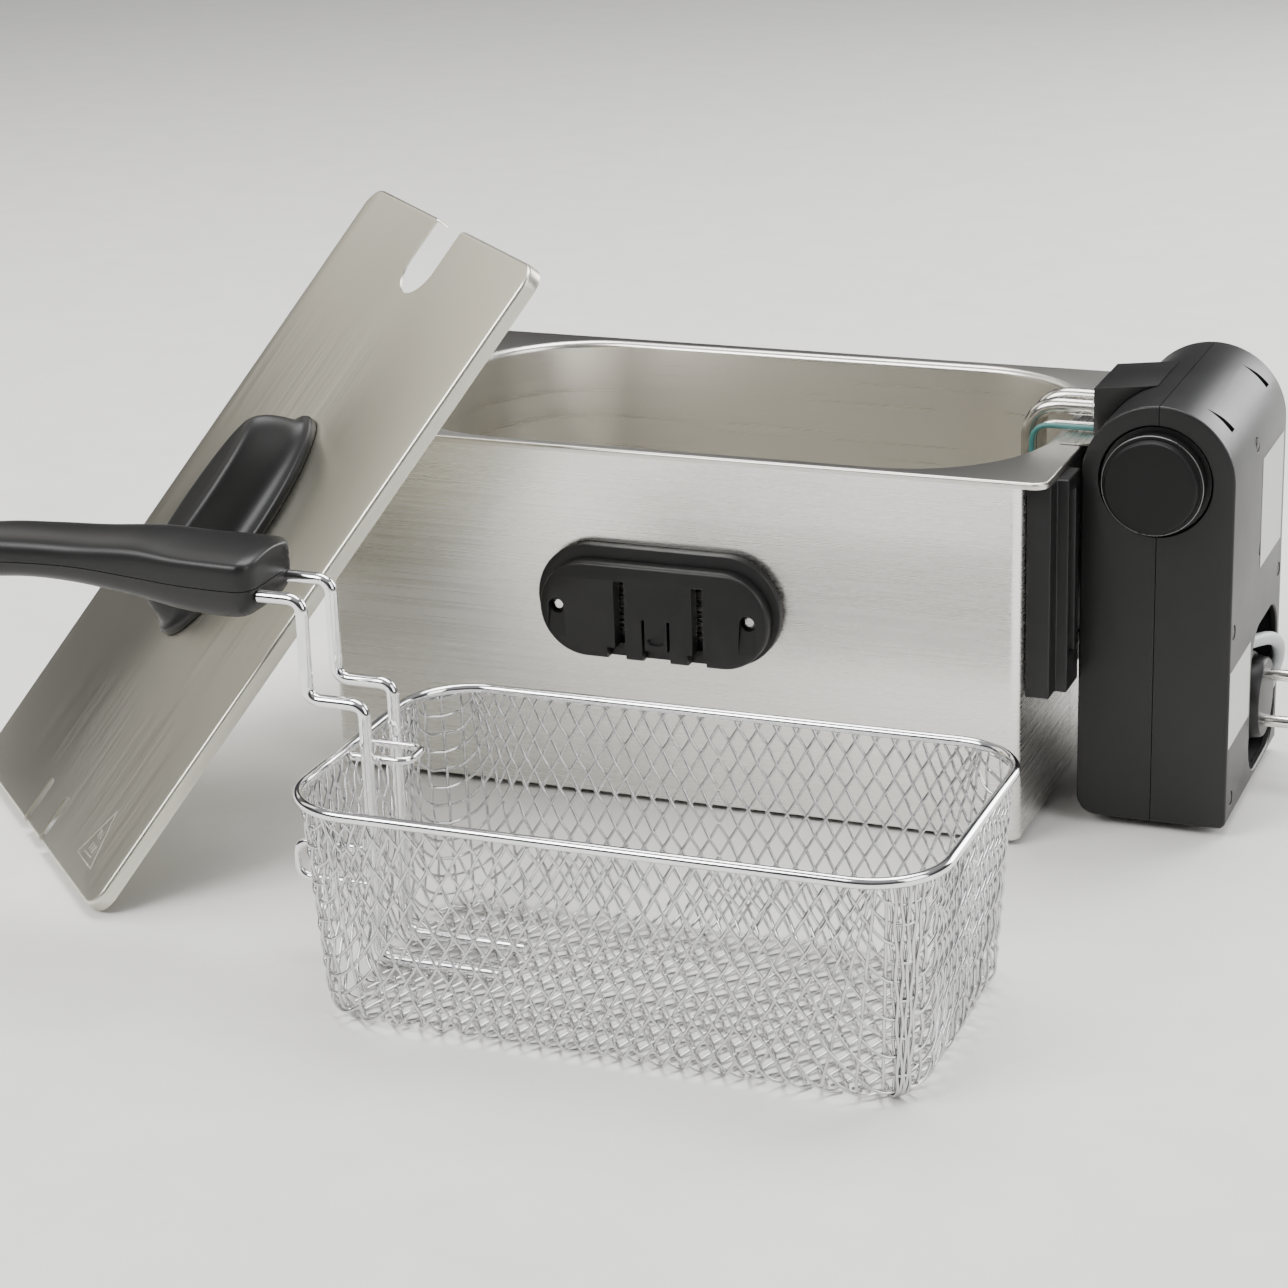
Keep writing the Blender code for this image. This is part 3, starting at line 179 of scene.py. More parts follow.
def area_light(name, place, target, size, power, colour=(1.0, 1.0, 1.0)):
    data = bpy.data.lights.new(name, "AREA")
    data.shape = "RECTANGLE"
    data.size, data.size_y = size
    data.energy = power
    data.color = colour
    obj = bpy.data.objects.new(name, data)
    bpy.context.scene.collection.objects.link(obj)
    obj.location = place
    obj.rotation_euler = (Vector(target) - Vector(place)).to_track_quat("-Z", "Y").to_euler()


def stage():
    bm = bmesh.new()
    bmesh.ops.create_grid(bm, x_segments=1, y_segments=1, size=20.0)
    mesh = as_mesh("floor", bm)
    mesh.materials.append(noisy_plain("floor_paper", (0.80, 0.79, 0.77), 0.85, 30.0, 0.02))
    floor = bpy.data.objects.new("floor", mesh)
    floor.location = (0.0, 0.0, -0.0002)
    bpy.context.scene.collection.objects.link(floor)

    world = bpy.data.worlds.new("studio")
    world.use_nodes = True
    tree = world.node_tree
    where = tree.nodes.new("ShaderNodeTexCoord")
    split = tree.nodes.new("ShaderNodeSeparateXYZ")
    tree.links.new(where.outputs["Generated"], split.inputs["Vector"])
    height = spread(tree, split.outputs["Z"], 0.0, 1.0, -1.0, 1.0)
    sky = ramp(tree, height, (
        (0.0, (0.20, 0.20, 0.20)), (0.50, (0.10, 0.10, 0.11)), (0.72, (0.15, 0.15, 0.16)),
        (0.80, (0.60, 0.60, 0.61)), (1.0, (0.90, 0.90, 0.91))))
    tree.links.new(sky, tree.nodes["Background"].inputs["Color"])
    tree.nodes["Background"].inputs["Strength"].default_value = 0.50
    bpy.context.scene.world = world

    middle = (0.0, 0.0, 0.08)
    area_light("key", (-0.9, -1.3, 1.5), middle, (1.2, 0.9), 42.0)
    area_light("fill", (1.6, -0.5, 0.9), middle, (0.9, 1.2), 14.0)
    area_light("top", (0.1, 0.5, 1.9), middle, (1.6, 1.0), 46.0)
    area_light("lid_card", (-1.36, 0.52, 1.06), (-0.12, -0.06, 0.10), (1.3, 0.8), 5.0, (1.0, 0.96, 0.87))
    area_light("end_card", (1.1, 1.8, 0.75), (0.25, 0.10, 0.12), (1.2, 1.0), 40.0)


# ---------------------------------------------------------------- materials


def new_material(name):
    made = bpy.data.materials.new(name)
    made.use_nodes = True
    tree = made.node_tree
    shader = tree.nodes["Principled BSDF"]
    where = tree.nodes.new("ShaderNodeTexCoord")
    return made, tree, shader, where.outputs["Object"]


def shader_node(tree, kind, socket, source, **values):
    """A node of that kind, fed by the source, with its inputs set; an underscore stands for a space."""
    node = tree.nodes.new(kind)
    for name, value in values.items():
        node.inputs[name.replace("_", " ")].default_value = value
    tree.links.new(source, node.inputs[socket])
    return node


def mapped(tree, source, scale):
    return shader_node(tree, "ShaderNodeMapping", "Vector", source, Scale=scale).outputs["Vector"]


def noise(tree, source, scale, detail=3.0, roughness=0.55):
    values = {"Scale": scale, "Detail": detail, "Roughness": roughness}
    return shader_node(tree, "ShaderNodeTexNoise", "Vector", source, **values).outputs["Fac"]


def spread(tree, source, low, high, from_low=0.25, from_high=0.75):
    node = shader_node(tree, "ShaderNodeMapRange", "Value", source, From_Min=from_low, From_Max=from_high,
                       To_Min=low, To_Max=high)
    return node.outputs["Result"]


def ramp(tree, source, stops):
    node = tree.nodes.new("ShaderNodeValToRGB")
    elements = node.color_ramp.elements
    elements[0].position, elements[0].color = stops[0][0], (*stops[0][1], 1.0)
    elements[1].position, elements[1].color = stops[-1][0], (*stops[-1][1], 1.0)
    for position, colour in stops[1:-1]:
        element = elements.new(position)
        element.color = (*colour, 1.0)
    tree.links.new(source, node.inputs["Fac"])
    return node.outputs["Color"]


def bump(tree, shader, source, strength, distance=0.0002):
    node = shader_node(tree, "ShaderNodeBump", "Height", source, Strength=strength, Distance=distance)
    tree.links.new(node.outputs["Normal"], shader.inputs["Normal"])


def tinted(colour, factor):
    return tuple(min(1.0, c * factor) for c in colour)


def mottled(tree, source, colour, dark, light):
    """The colour, going from a darker to a lighter tint of it as the source rises."""
    return ramp(tree, source, ((0.3, tinted(colour, dark)), (0.7, tinted(colour, light))))


def noisy_plain(name, colour, roughness, scale, strength):
    made, tree, shader, where = new_material(name)
    grain = noise(tree, where, scale)
    tree.links.new(mottled(tree, grain, colour, 0.97, 1.02), shader.inputs["Base Color"])
    shader.inputs["Roughness"].default_value = roughness
    bump(tree, shader, grain, strength)
    return made


def brushed(name, colour, roughness, stretch, tone_and_reflection_stretch, contrast=0.06, strength=0.10):
    """Brushed sheet: fine streaks along the axis with the smallest stretch, and a slow change in its tone,
    which, stretched upright on the housing, is painted reflection banding.
    """
    made, tree, shader, where = new_material(name)
    shader.inputs["Metallic"].default_value = 1.0
    shader.inputs["Anisotropic"].default_value = 0.5
    lines = noise(tree, mapped(tree, where, stretch), 1.0, 4.0, 0.6)
    # slow noise in the base colour: random tone, and on the housing upright painted reflection banding
    slow = noise(tree, mapped(tree, where, tone_and_reflection_stretch), 1.0, 2.0)
    tone = tree.nodes.new("ShaderNodeMix")
    tone.data_type = "RGBA"
    tree.links.new(spread(tree, slow, 0.0, 1.0, 0.3, 0.7), tone.inputs[0])
    for socket, factor in ((6, 0.96), (7, 1.04)):
        streaks = mottled(tree, lines, colour, factor - contrast, factor + contrast)
        tree.links.new(streaks, tone.inputs[socket])
    tree.links.new(tone.outputs[2], shader.inputs["Base Color"])
    tree.links.new(spread(tree, lines, roughness * 0.85, roughness * 1.18), shader.inputs["Roughness"])
    bump(tree, shader, lines, strength, 0.00006)
    return made


def chrome(name, colour, roughness):
    """Bright metal: fine marks in its tone and its shine."""
    made, tree, shader, where = new_material(name)
    shader.inputs["Metallic"].default_value = 1.0
    marks = noise(tree, where, 160.0, 2.0)
    tree.links.new(mottled(tree, marks, colour, 0.94, 1.04), shader.inputs["Base Color"])
    tree.links.new(spread(tree, marks, roughness * 0.7, roughness * 1.5), shader.inputs["Roughness"])
    bump(tree, shader, marks, 0.05, 0.0001)
    return made


def moulded(name, colour, roughness, grain_size=1500.0, strength=0.12, gloss=0.5):
    """Moulded plastic: a fine spark-eroded grain and slow changes in its shine."""
    made, tree, shader, where = new_material(name)
    grain = noise(tree, where, grain_size, 2.0)
    clouds = noise(tree, where, 25.0, 3.0)
    tree.links.new(mottled(tree, clouds, colour, 0.90, 1.12), shader.inputs["Base Color"])
    tree.links.new(spread(tree, clouds, roughness * 0.92, roughness * 1.08), shader.inputs["Roughness"])
    shader.inputs["Specular IOR Level"].default_value = gloss
    bump(tree, shader, grain, strength, 0.00008)
    return made


MATERIALS = {}


def make_materials():
    even, fine = (300.0, 300.0, 300.0), (90.0, 90.0, 90.0)
    MATERIALS.update(
        # the housing's upright slow tone is painted reflection banding, standing in for the vertical
        # reflections of brushed steel
        housing=brushed("housing_steel", (0.87, 0.86, 0.82), 0.27, (4.0, 4.0, 900.0), (14.0, 14.0, 1.0),
                        0.02, 0.004),
        lid=brushed("lid_steel", (0.66, 0.64, 0.55), 0.33, (900.0, 12.0, 900.0), (7.0, 7.0, 7.0),
                    0.02, 0.03),
        bowl=brushed("bowl_steel", (0.73, 0.71, 0.66), 0.30, (5.0, 5.0, 600.0), (8.0, 8.0, 3.0),
                     0.015, 0.004),
        small_steel=brushed("small_steel", (0.66, 0.645, 0.61), 0.28, (500.0, 30.0, 500.0),
                            (30.0, 30.0, 30.0)),
        chrome=chrome("basket_chrome", (0.86, 0.86, 0.86), 0.09),
        mesh_chrome=chrome("mesh_chrome", (0.60, 0.60, 0.60), 0.14),
        tube=brushed("element_steel", (0.60, 0.58, 0.54), 0.22, (60.0, 400.0, 400.0), (30.0, 30.0, 30.0)),
        black=moulded("black_plastic", (0.007, 0.007, 0.007), 0.42, gloss=0.40),
        grip=moulded("grip_plastic", (0.008, 0.008, 0.008), 0.38, 2200.0, 0.06, 0.38),
        knob=moulded("knob_plastic", (0.004, 0.004, 0.004), 0.48, 1800.0, 0.08, 0.26),
        rubber=moulded("foot_rubber", (0.030, 0.030, 0.030), 0.75, 800.0, 0.25),
        sheath=moulded("cord_sheath", (0.44, 0.45, 0.46), 0.42, 900.0, 0.10),
        pin=chrome("pin_metal", (0.90, 0.88, 0.83), 0.16),
        teal=moulded("capillary_sleeve", (0.045, 0.17, 0.16), 0.35, 900.0, 0.05),
        ceramic=moulded("ceramic", (0.74, 0.72, 0.66), 0.45, 500.0, 0.10),
        red=moulded("button_red", (0.55, 0.04, 0.03), 0.35, 900.0, 0.05),
        screw=brushed("zinc_screw", (0.80, 0.80, 0.78), 0.28, even, fine),
        mark=brushed("mark_steel", (0.74, 0.72, 0.66), 0.45, even, fine),
        dark_screw=brushed("dark_screw", (0.06, 0.06, 0.06), 0.40, even, fine),
        label=noisy_plain("blank_label", (0.52, 0.52, 0.51), 0.45, 400.0, 0.03),
        # the dial's ring is a painted highlight on the knob's shoulder
        ring=chrome("knob_painted_highlight", (0.24, 0.24, 0.24), 0.30),
    )


# The finish of the nodes that stay in sight and are neither black plastic, nor feet or screws
NODE_FINISH = {
    "element_rest_plate": "small_steel", "thermal_cutout": "ceramic", "terminal_block": "ceramic",
    "reset_button": "red", "thermostat_shaft": "screw",
}


def dress_nodes():
    for name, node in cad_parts.items():
        if name.startswith("foot_"):
            finish = "rubber"
        elif name.startswith("shell_screw"):
            finish = "dark_screw"
        elif "screw" in name:
            finish = "screw"
        else:
            finish = NODE_FINISH.get(name, "black")
        node.data.materials.clear()
        node.data.materials.append(MATERIALS[finish])


# ---------------------------------------------------------------- shapes


def arc(cx, cy, radius, start, end, steps):
    angles = [start + (end - start) * i / steps for i in range(steps + 1)]
    return [(cx + radius * cos(angle), cy + radius * sin(angle)) for angle in angles]


def arc_loop(cx, cy, radius, steps):
    return arc(cx, cy, radius, 0, 2 * pi * (steps - 1) / steps, steps - 1)


def quarter(steps):
    """The sine and cosine at even steps through a quarter turn."""
    return [(sin(pi / 2 * i / steps), cos(pi / 2 * i / steps)) for i in range(steps + 1)]


def rounded_rectangle(half_x, half_y, radius, steps=6, centre=(0.0, 0.0)):
    points = []
    for turn, (sx, sy) in enumerate(((1, 1), (-1, 1), (-1, -1), (1, -1))):
        start = turn * pi / 2
        cx, cy = centre[0] + sx * (half_x - radius), centre[1] + sy * (half_y - radius)
        points += arc(cx, cy, radius, start, start + pi / 2, steps)
    return points


def catmull_rom(before, here, there, after, t):
    """The point at t on the way from here to there, on a smooth curve through all four."""
    return ((here * 2) + (there - before) * t + (before * 2 - here * 5 + there * 4 - after) * t**2
            + (here * 3 - before - there * 3 + after) * t**3) / 2


def smooth_curve(points, spacing):
    points = [Vector(p) for p in points]
    padded = [points[0] * 2 - points[1]] + points + [points[-1] * 2 - points[-2]]
    route = []
    for a, b, c, d in zip(padded, padded[1:], padded[2:], padded[3:]):
        steps = max(1, round((c - b).length / spacing))
        route += [catmull_rom(a, b, c, d, i / steps) for i in range(steps)]
    return route + [points[-1]]


def filleted(points, radius, steps=10):
    points = [Vector(p) for p in points]
    route = [points[0]]
    for before, corner, after in zip(points, points[1:], points[2:]):
        back, ahead = (before - corner).normalized(), (after - corner).normalized()
        half_angle = back.angle(ahead) / 2
        cut = min(radius / max(0.05, abs(sin(half_angle) / cos(half_angle))), (before - corner).length * 0.49,
                  (after - corner).length * 0.49)
        start, end = corner + back * cut, corner + ahead * cut
        for i in range(steps + 1):
            t = i / steps
            route.append(start * (1 - t) ** 2 + corner * 2 * t * (1 - t) + end * t**2)
    route.append(points[-1])
    return route


def level(outline, z):
    return [(x, y, z) for x, y in outline]


def loft(rings, closed=False):
    bm = bmesh.new()
    rows = [[bm.verts.new(p) for p in ring] for ring in rings]
    pairs = list(zip(rows, rows[1:])) + ([(rows[-1], rows[0])] if closed else [])
    for lower, upper in pairs:
        for i in range(len(lower)):
            j = (i + 1) % len(lower)
            bm.faces.new((lower[i], lower[j], upper[j], upper[i]))
    if not closed:
        bm.faces.new(list(reversed(rows[0])))
        bm.faces.new(rows[-1])
    return bm


def prism(outline, z0, z1):
    return loft([level(outline, z0), level(outline, z1)])


def upright(outline, y0, y1):
    return loft([[(x, y0, z) for x, z in outline], [(x, y1, z) for x, z in outline]])


def sideways(outline, x0, x1):
    return loft([[(x0, y, z) for y, z in outline], [(x1, y, z) for y, z in outline]])


def turned(profile, axis, steps=48):
    """A shape turned about the X or Y axis, from places along it and the radii there."""
    rings = []
    for along, radius in profile:
        circle = [(radius * cos(2 * pi * i / steps), radius * sin(2 * pi * i / steps)) for i in range(steps)]
        rings.append([(along, a, b) if axis == "X" else (a, along, b) for a, b in circle])
    return loft(rings)


def as_mesh(name, bm):
    mesh = bpy.data.meshes.new(name)
    bm.to_mesh(mesh)
    bm.free()
    return mesh


def shade(mesh, smooth_below):
    """Shades a mesh smooth wherever its faces meet at less than that many degrees."""
    mesh.shade_smooth()
    mesh.set_sharp_from_angle(angle=radians(smooth_below))


def place(obj, finish, body, nodes, matrix):
    """Puts a made piece where its frame says, in its material, riding on its body in place of its nodes."""
    obj.data.materials.append(MATERIALS[finish])
    bpy.context.scene.collection.objects.link(obj)
    obj.matrix_world = Matrix.Translation(OFFSET) @ matrix
    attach(obj, body)
    if nodes:
        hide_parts(*nodes)
    return obj


def mesh_piece(name, bm, finish, body, nodes=(), matrix=Matrix.Identity(4), smooth_below=35):
    bmesh.ops.remove_doubles(bm, verts=bm.verts, dist=0.000005)
    bmesh.ops.recalc_face_normals(bm, faces=bm.faces)
    mesh = as_mesh(name, bm)
    shade(mesh, smooth_below)
    return place(bpy.data.objects.new(name, mesh), finish, body, nodes, matrix)


def wire_piece(name, points, radius, finish, body, nodes=(), matrix=Matrix.Identity(4), cyclic=False,
               scales=None, resolution=6):
    curve = bpy.data.curves.new(name, "CURVE")
    curve.dimensions = "3D"
    curve.bevel_depth = radius
    curve.bevel_resolution = resolution
    curve.use_fill_caps = not cyclic
    spline = curve.splines.new("POLY")
    spline.points.add(len(points) - 1)
    for i, point in enumerate(points):
        spline.points[i].co = (*point, 1.0)
        spline.points[i].radius = scales[i] if scales else 1.0
    spline.use_cyclic_u = cyclic
    return place(bpy.data.objects.new(name, curve), finish, body, nodes, matrix)


def cut(obj, bm, name):
    """Cuts a shape, in the piece's own frame, out of the piece and keeps the result in its mesh."""
    bmesh.ops.recalc_face_normals(bm, faces=bm.faces)
    cutter = bpy.data.objects.new(name, as_mesh(name, bm))
    bpy.context.scene.collection.objects.link(cutter)
    cutter.matrix_world = obj.matrix_world
    modifier = obj.modifiers.new(name, "BOOLEAN")
    modifier.operation = "DIFFERENCE"
    modifier.solver = "EXACT"
    modifier.object = cutter
    bake(obj)
    bpy.data.objects.remove(cutter, do_unlink=True)


def bake(obj):
    """Applies the piece's modifiers to its mesh."""
    bpy.context.view_layer.update()
    evaluated = obj.evaluated_get(bpy.context.evaluated_depsgraph_get())
    mesh = bpy.data.meshes.new_from_object(evaluated)
    obj.modifiers.clear()
    obj.data = mesh


def soften(obj, width):
    """Rounds the piece's edges and shades it smooth."""
    modifier = obj.modifiers.new("soften", "BEVEL")
    modifier.width = width
    modifier.segments = 3
    modifier.limit_method = "ANGLE"
    modifier.angle_limit = radians(30)
    bake(obj)
    shade(obj.data, 40)


# ---------------------------------------------------------------- cord


def power_cord():
    """The lead: out of the strain relief, wound side by side, then out over the plug and into its boot."""
    # a little thinner than its solid, so that neighbouring turns stay apart
    radius = CORD_RADIUS * 0.985
    turn_points = 32
    turned_points = int(turn_points * COIL_TURNS)
    rise = (CORD_ROUTE[0][0] - COIL_FIRST_X) / turned_points
    points = [Vector((COIL_FIRST_X, -COIL_RADIUS, GLAND_Z0 + GAP)),
              Vector((COIL_FIRST_X, -COIL_RADIUS, COIL_Z + COIL_RADIUS * 0.35))]
    for i in range(turned_points):
        angle = pi + 2 * pi * i / turn_points
        points.append(Vector((COIL_FIRST_X + rise * i, COIL_RADIUS * cos(angle),
                              COIL_Z + COIL_RADIUS * sin(angle))))
    points += smooth_curve(CORD_ROUTE, 0.0040)
    lead = wire_piece("mains_lead", points, radius, "sheath", "control_unit", ("power_cord", "cord_coil"))
    plug_pieces()


def plug_pieces():
    """A round two-pin plug with a boot on its edge, and the boot's ribs."""
    middle = Vector((0.0, PLUG_Y, PLUG_Z))
    back = ((0.0, 0.0080), (0.0006, 0.0135), (0.0016, 0.0162), (0.0034, 0.0178), (0.0050, PLUG_RADIUS))
    front = ((0.0068, 0.0), (0.0060, 0.0005), (0.0058, 0.0012), (0.0010, 0.0019), (0.0002, 0.0026),
             (0.0, 0.0036))
    body = [(PLUG_X0 + along, radius) for along, radius in back]
    body += [(PLUG_X1 - along, PLUG_RADIUS - drop) for along, drop in front]
    plug = mesh_piece("plug_body", turned(body, "X", 72), "black", "control_unit", ("power_plug",),
                      Matrix.Translation(middle))
    pin_end = PLUG_X1 + PIN_LENGTH
    tip = ((0.0022, 0.0), (0.0010, 0.0004), (0.0003, 0.0011), (0.0, 0.0018))
    pin = [(PLUG_X1 - 0.0004, PIN_RADIUS)] + [(pin_end - along, PIN_RADIUS - drop) for along, drop in tip]
    pins = []
    for sign, name in ((1, "upper"), (-1, "lower")):
        reach = sign * PIN_SPACING / 2
        shift = Vector((0.0, reach * sin(PIN_TILT), reach * cos(PIN_TILT)))
        pins.append(mesh_piece(f"pin_{name}", turned(pin, "X", 36), "pin", "control_unit",
                               (f"plug_pin_{name}",), Matrix.Translation(middle + shift)))
    end = Vector(CORD_ROUTE[-1])
    heading = (end - Vector(CORD_ROUTE[-2])).normalized()
    valley, ridge, widening, rib_points = 1.12, 1.30, 0.35, 12
    steps, scales = [], []
    for i in range(rib_points):
        share = i / (rib_points - 1)
        steps.append(end + heading * (GAP + BOOT_LENGTH * share))
        scales.append((valley, ridge)[i % 2] + widening * share)
    boot = wire_piece("plug_boot_ribbed", steps, CORD_RADIUS, "black", "control_unit", ("plug_boot",),
                      scales=scales)
    return [plug, boot] + pins


# ---------------------------------------------------------------- housing


def housing_outline(inset, z):
    """The housing's outline, with the fine step of its welded seam on the end under the control unit."""
    centre_x, half_length = (HOUSING_X0 + HOUSING_X1) / 2, (HOUSING_X1 - HOUSING_X0) / 2
    points = rounded_rectangle(half_length - inset, HOUSING_HALF_WIDTH - inset,
                               max(HOUSING_CORNER - inset, 0.0008), 12, (centre_x, 0.0))
    edge = HOUSING_X1 - inset
    seam = [(edge, SEAM_Y - 0.0003), (edge - 0.0004, SEAM_Y), (edge, SEAM_Y + 0.0003)]
    return level(points + seam, z)


def outer_housing():
    """One bent sheet, welded at the end, with its lower edge turned in."""
    top, hem = FLANGE_TOP - BOWL_SHEET - GAP, 0.0022
    rows = [(0.0, top), (0.0, HOUSING_Z0 + hem * 0.5), (0.0003, HOUSING_Z0 + hem * 0.2), (0.0010, HOUSING_Z0),
            (0.0022, HOUSING_Z0 + 0.0002), (0.0026, HOUSING_Z0 + 0.0012), (0.0020, HOUSING_Z0 + 0.0030),
            (HOUSING_WALL, HOUSING_Z0 + 0.0060), (HOUSING_WALL, top)]
    skin = loft([housing_outline(inset, z) for inset, z in reversed(rows)], closed=True)
    mesh_piece("housing_skin", skin, "housing", "housing", ("outer_housing",))


def slot_shape(half_length, half_height, x, z, steps=28):
    """An outline in X and Z with round ends."""
    shift = half_length - half_height
    return (arc(x + shift, z, half_height, -pi / 2, pi / 2, steps)
            + arc(x - shift, z, half_height, pi / 2, 3 * pi / 2, steps))


def box_piece(x0, x1, y0, y1, z0, z1):
    return prism([(x0, y0), (x1, y0), (x1, y1), (x0, y1)], z0, z1)


def stepped_slot(gap_x0, gap_x1, slot_x0, slot_x1):
    """The outline of a slot that opens into a wider gap at the cover's lower edge."""
    return [(gap_x0, BELOW_COVER), (gap_x1, BELOW_COVER), (gap_x1, COVER_GAP_TOP), (slot_x1, COVER_GAP_TOP),
            (slot_x1, FINGER_SLOT_TOP), (slot_x0, FINGER_SLOT_TOP), (slot_x0, COVER_GAP_TOP),
            (gap_x0, COVER_GAP_TOP)]


def tongue_slot():
    """The outline of the cover's middle gap, with a slit up each side of a springy tongue."""
    (x0, x1), left, right = TONGUE_GAP, TONGUE_X - TONGUE_HALF_WIDTH, TONGUE_X + TONGUE_HALF_WIDTH
    return [(x0, BELOW_COVER), (x1, BELOW_COVER), (x1, TONGUE_TOP), (right, TONGUE_TOP),
            (right, COVER_GAP_TOP), (left, COVER_GAP_TOP), (left, TONGUE_TOP), (x0, TONGUE_TOP)]


def side_handle(side, row):
    """A back plate and a deeper cover with two slots, a springy tongue between them and sunken screws."""
    wall_y = HOUSING_HALF_WIDTH + GAP
    joint_y, face_y = wall_y + SIDE_HANDLE_BASE, wall_y + SIDE_HANDLE_DEPTH

    def moulding(name, node, z, rows):
        rings = []
        for inset, depth in rows:
            outline = slot_shape(SIDE_HANDLE_HALF_LENGTH - inset, SIDE_HANDLE_HALF_HEIGHT - inset,
                                 SIDE_HANDLE_X, z)
            rings.append([(x, side * depth, height) for x, height in outline])
        return mesh_piece(f"{name}_{row}", loft(rings), "black", "housing", (f"{node}_{row}",))

    base = moulding("handle_back", "handle_base", SIDE_HANDLE_Z, (
        (0.0004, wall_y), (0, wall_y + 0.0004), (0, joint_y - 0.0008), (0.0003, joint_y - 0.0002),
        (0.0010, joint_y)))
    cover = moulding("handle_face", "handle_cover", SIDE_HANDLE_Z - SIDE_COVER_DROP, (
        (0.0030, joint_y + GAP), (0.0030, face_y - 0.0014), (0.0032, face_y - 0.0008),
        (0.0036, face_y - 0.0003), (0.0042, face_y)))
    through = sorted((side * (wall_y - 0.0050), side * (face_y + 0.0050)))
    for x, (gap_x0, gap_x1) in zip(FINGER_SLOT_X, COVER_GAPS):
        slot_x0, slot_x1 = x - FINGER_SLOT_HALF_WIDTH, x + FINGER_SLOT_HALF_WIDTH
        behind = box_piece(slot_x0 - BASE_SLOT_EXTRA, slot_x1, *through, COVER_GAP_TOP, FINGER_SLOT_TOP)
        cut(base, behind, "slot")
        cut(cover, upright(stepped_slot(gap_x0, gap_x1, slot_x0, slot_x1), *through), "slot")
    cut(cover, upright(tongue_slot(), *through), "tongue_gap")
    dish = turned([(-0.0012, 0.0030), (0.0002, 0.0038), (0.0030, 0.0040)], "Y", 32)
    bmesh.ops.scale(dish, vec=(1.0, float(side), 0.45), verts=dish.verts)
    bmesh.ops.translate(dish, vec=(TONGUE_X, side * face_y, COVER_GAP_TOP + 0.0040), verts=dish.verts)
    cut(cover, dish, "tongue_dish")
    low = SIDE_SCREW_Z - SCREW_CHANNEL_DROP
    near, deep, shallow = side * (face_y + 0.0010), side * (face_y - 0.0018), side * (face_y + 0.0002)
    for x in SIDE_SCREW_X:
        cut(cover, upright(arc_loop(x, SIDE_SCREW_Z, SIDE_SCREW_BORE, 32), *through), "screw_bore")
        corners = ((x + 0.0031, SIDE_SCREW_Z, deep), (x - 0.0031, SIDE_SCREW_Z, deep),
                   (x - 0.0040, low, shallow), (x + 0.0040, low, shallow))
        channel = loft([[(px, near, pz) for px, pz, _ in corners], [(px, py, pz) for px, pz, py in corners]])
        cut(cover, channel, "screw_channel")


def rail_bracket():
    """The guide on the housing's end: a thick plate and two slotted rails behind the control unit."""
    x0, x1 = HOUSING_X1 + GAP, HOUSING_X1 + 0.0098
    rail_x = UNIT_X - UNIT_HALF_THICKNESS - 0.0006
    top = FLANGE_TOP - FLANGE_LIP - GAP
    outline = [
        (x0, -BRACKET_HALF_WIDTH), (x1, -BRACKET_HALF_WIDTH), (x1, -RAIL_OUTER), (rail_x, -RAIL_OUTER),
        (rail_x, -RAIL_INNER), (x1, -RAIL_INNER), (x1, RAIL_INNER), (rail_x, RAIL_INNER),
        (rail_x, RAIL_OUTER), (x1, RAIL_OUTER), (x1, BRACKET_HALF_WIDTH), (x0, BRACKET_HALF_WIDTH),
    ]
    plate = mesh_piece("bracket_plate", prism(outline, BRACKET_Z0, top), "black", "housing",
                       ("rail_bracket",))
    for side in (-1, 1):
        y0, y1 = sorted((side * (RAIL_INNER + 0.0060), side * (RAIL_OUTER - 0.0030)))
        slot = box_piece(rail_x - 0.0034, rail_x + 0.0020, y0, y1, BRACKET_Z0 + 0.0140, top - 0.0060)
        cut(plate, slot, "rail_slot")
    soften(plate, 0.0006)


# ---------------------------------------------------------------- oil bowl


def pan_profile(skin):
    """Inset and height from the flange down the pan's wall to its floor, a skin's depth under its face."""
    roll, base = ROLL_RADIUS - skin, BOWL_FLOOR_RADIUS + skin
    roll_z = FLANGE_TOP - ROLL_RADIUS
    side, foot = ROLL_RADIUS + BOWL_DRAFT - skin, BOWL_FLOOR + BOWL_FLOOR_RADIUS
    bends = [(roll * sine, roll_z + roll * cosine) for sine, cosine in quarter(8)[:-1]]
    wall = [(roll + (side - roll) * i / 6, roll_z - (roll_z - foot) * i / 6) for i in range(6)]
    return bends + wall + [(side + base * (1 - cosine), foot - base * sine) for sine, cosine in quarter(10)]


def oil_bowl():
    """A drawn steel pan: flat flange with a turned lip, rolled edge, drafted wall and a radiused floor."""
    steps, bend = 20, 0.0011

    def flange(inset, z):
        return level(rounded_rectangle(FLANGE_HALF_LENGTH - inset, FLANGE_HALF_WIDTH - inset,
                                       FLANGE_CORNER - inset, steps), z)

    def pan(inset, z):
        return level(rounded_rectangle(OPENING_HALF_LENGTH - inset, OPENING_HALF_WIDTH - inset,
                                       OPENING_CORNER - inset, steps, (OPENING_CENTRE_X, 0.0)), z)

    lip_z = FLANGE_TOP - FLANGE_LIP
    rings = [pan(inset, z) for inset, z in reversed(pan_profile(0.0))]
    rings += [flange(bend * (1 - sine), FLANGE_TOP - bend * (1 - cosine)) for sine, cosine in quarter(5)]
    rings += [flange(0, lip_z), flange(LIP_SHEET, lip_z), flange(LIP_SHEET, FLANGE_TOP - BOWL_SHEET)]
    rings += [pan(inset, z) for inset, z in pan_profile(BOWL_SHEET)]
    mesh_piece("bowl_shell", loft(rings), "bowl", "bowl", ("oil_bowl",))


# ---------------------------------------------------------------- control unit


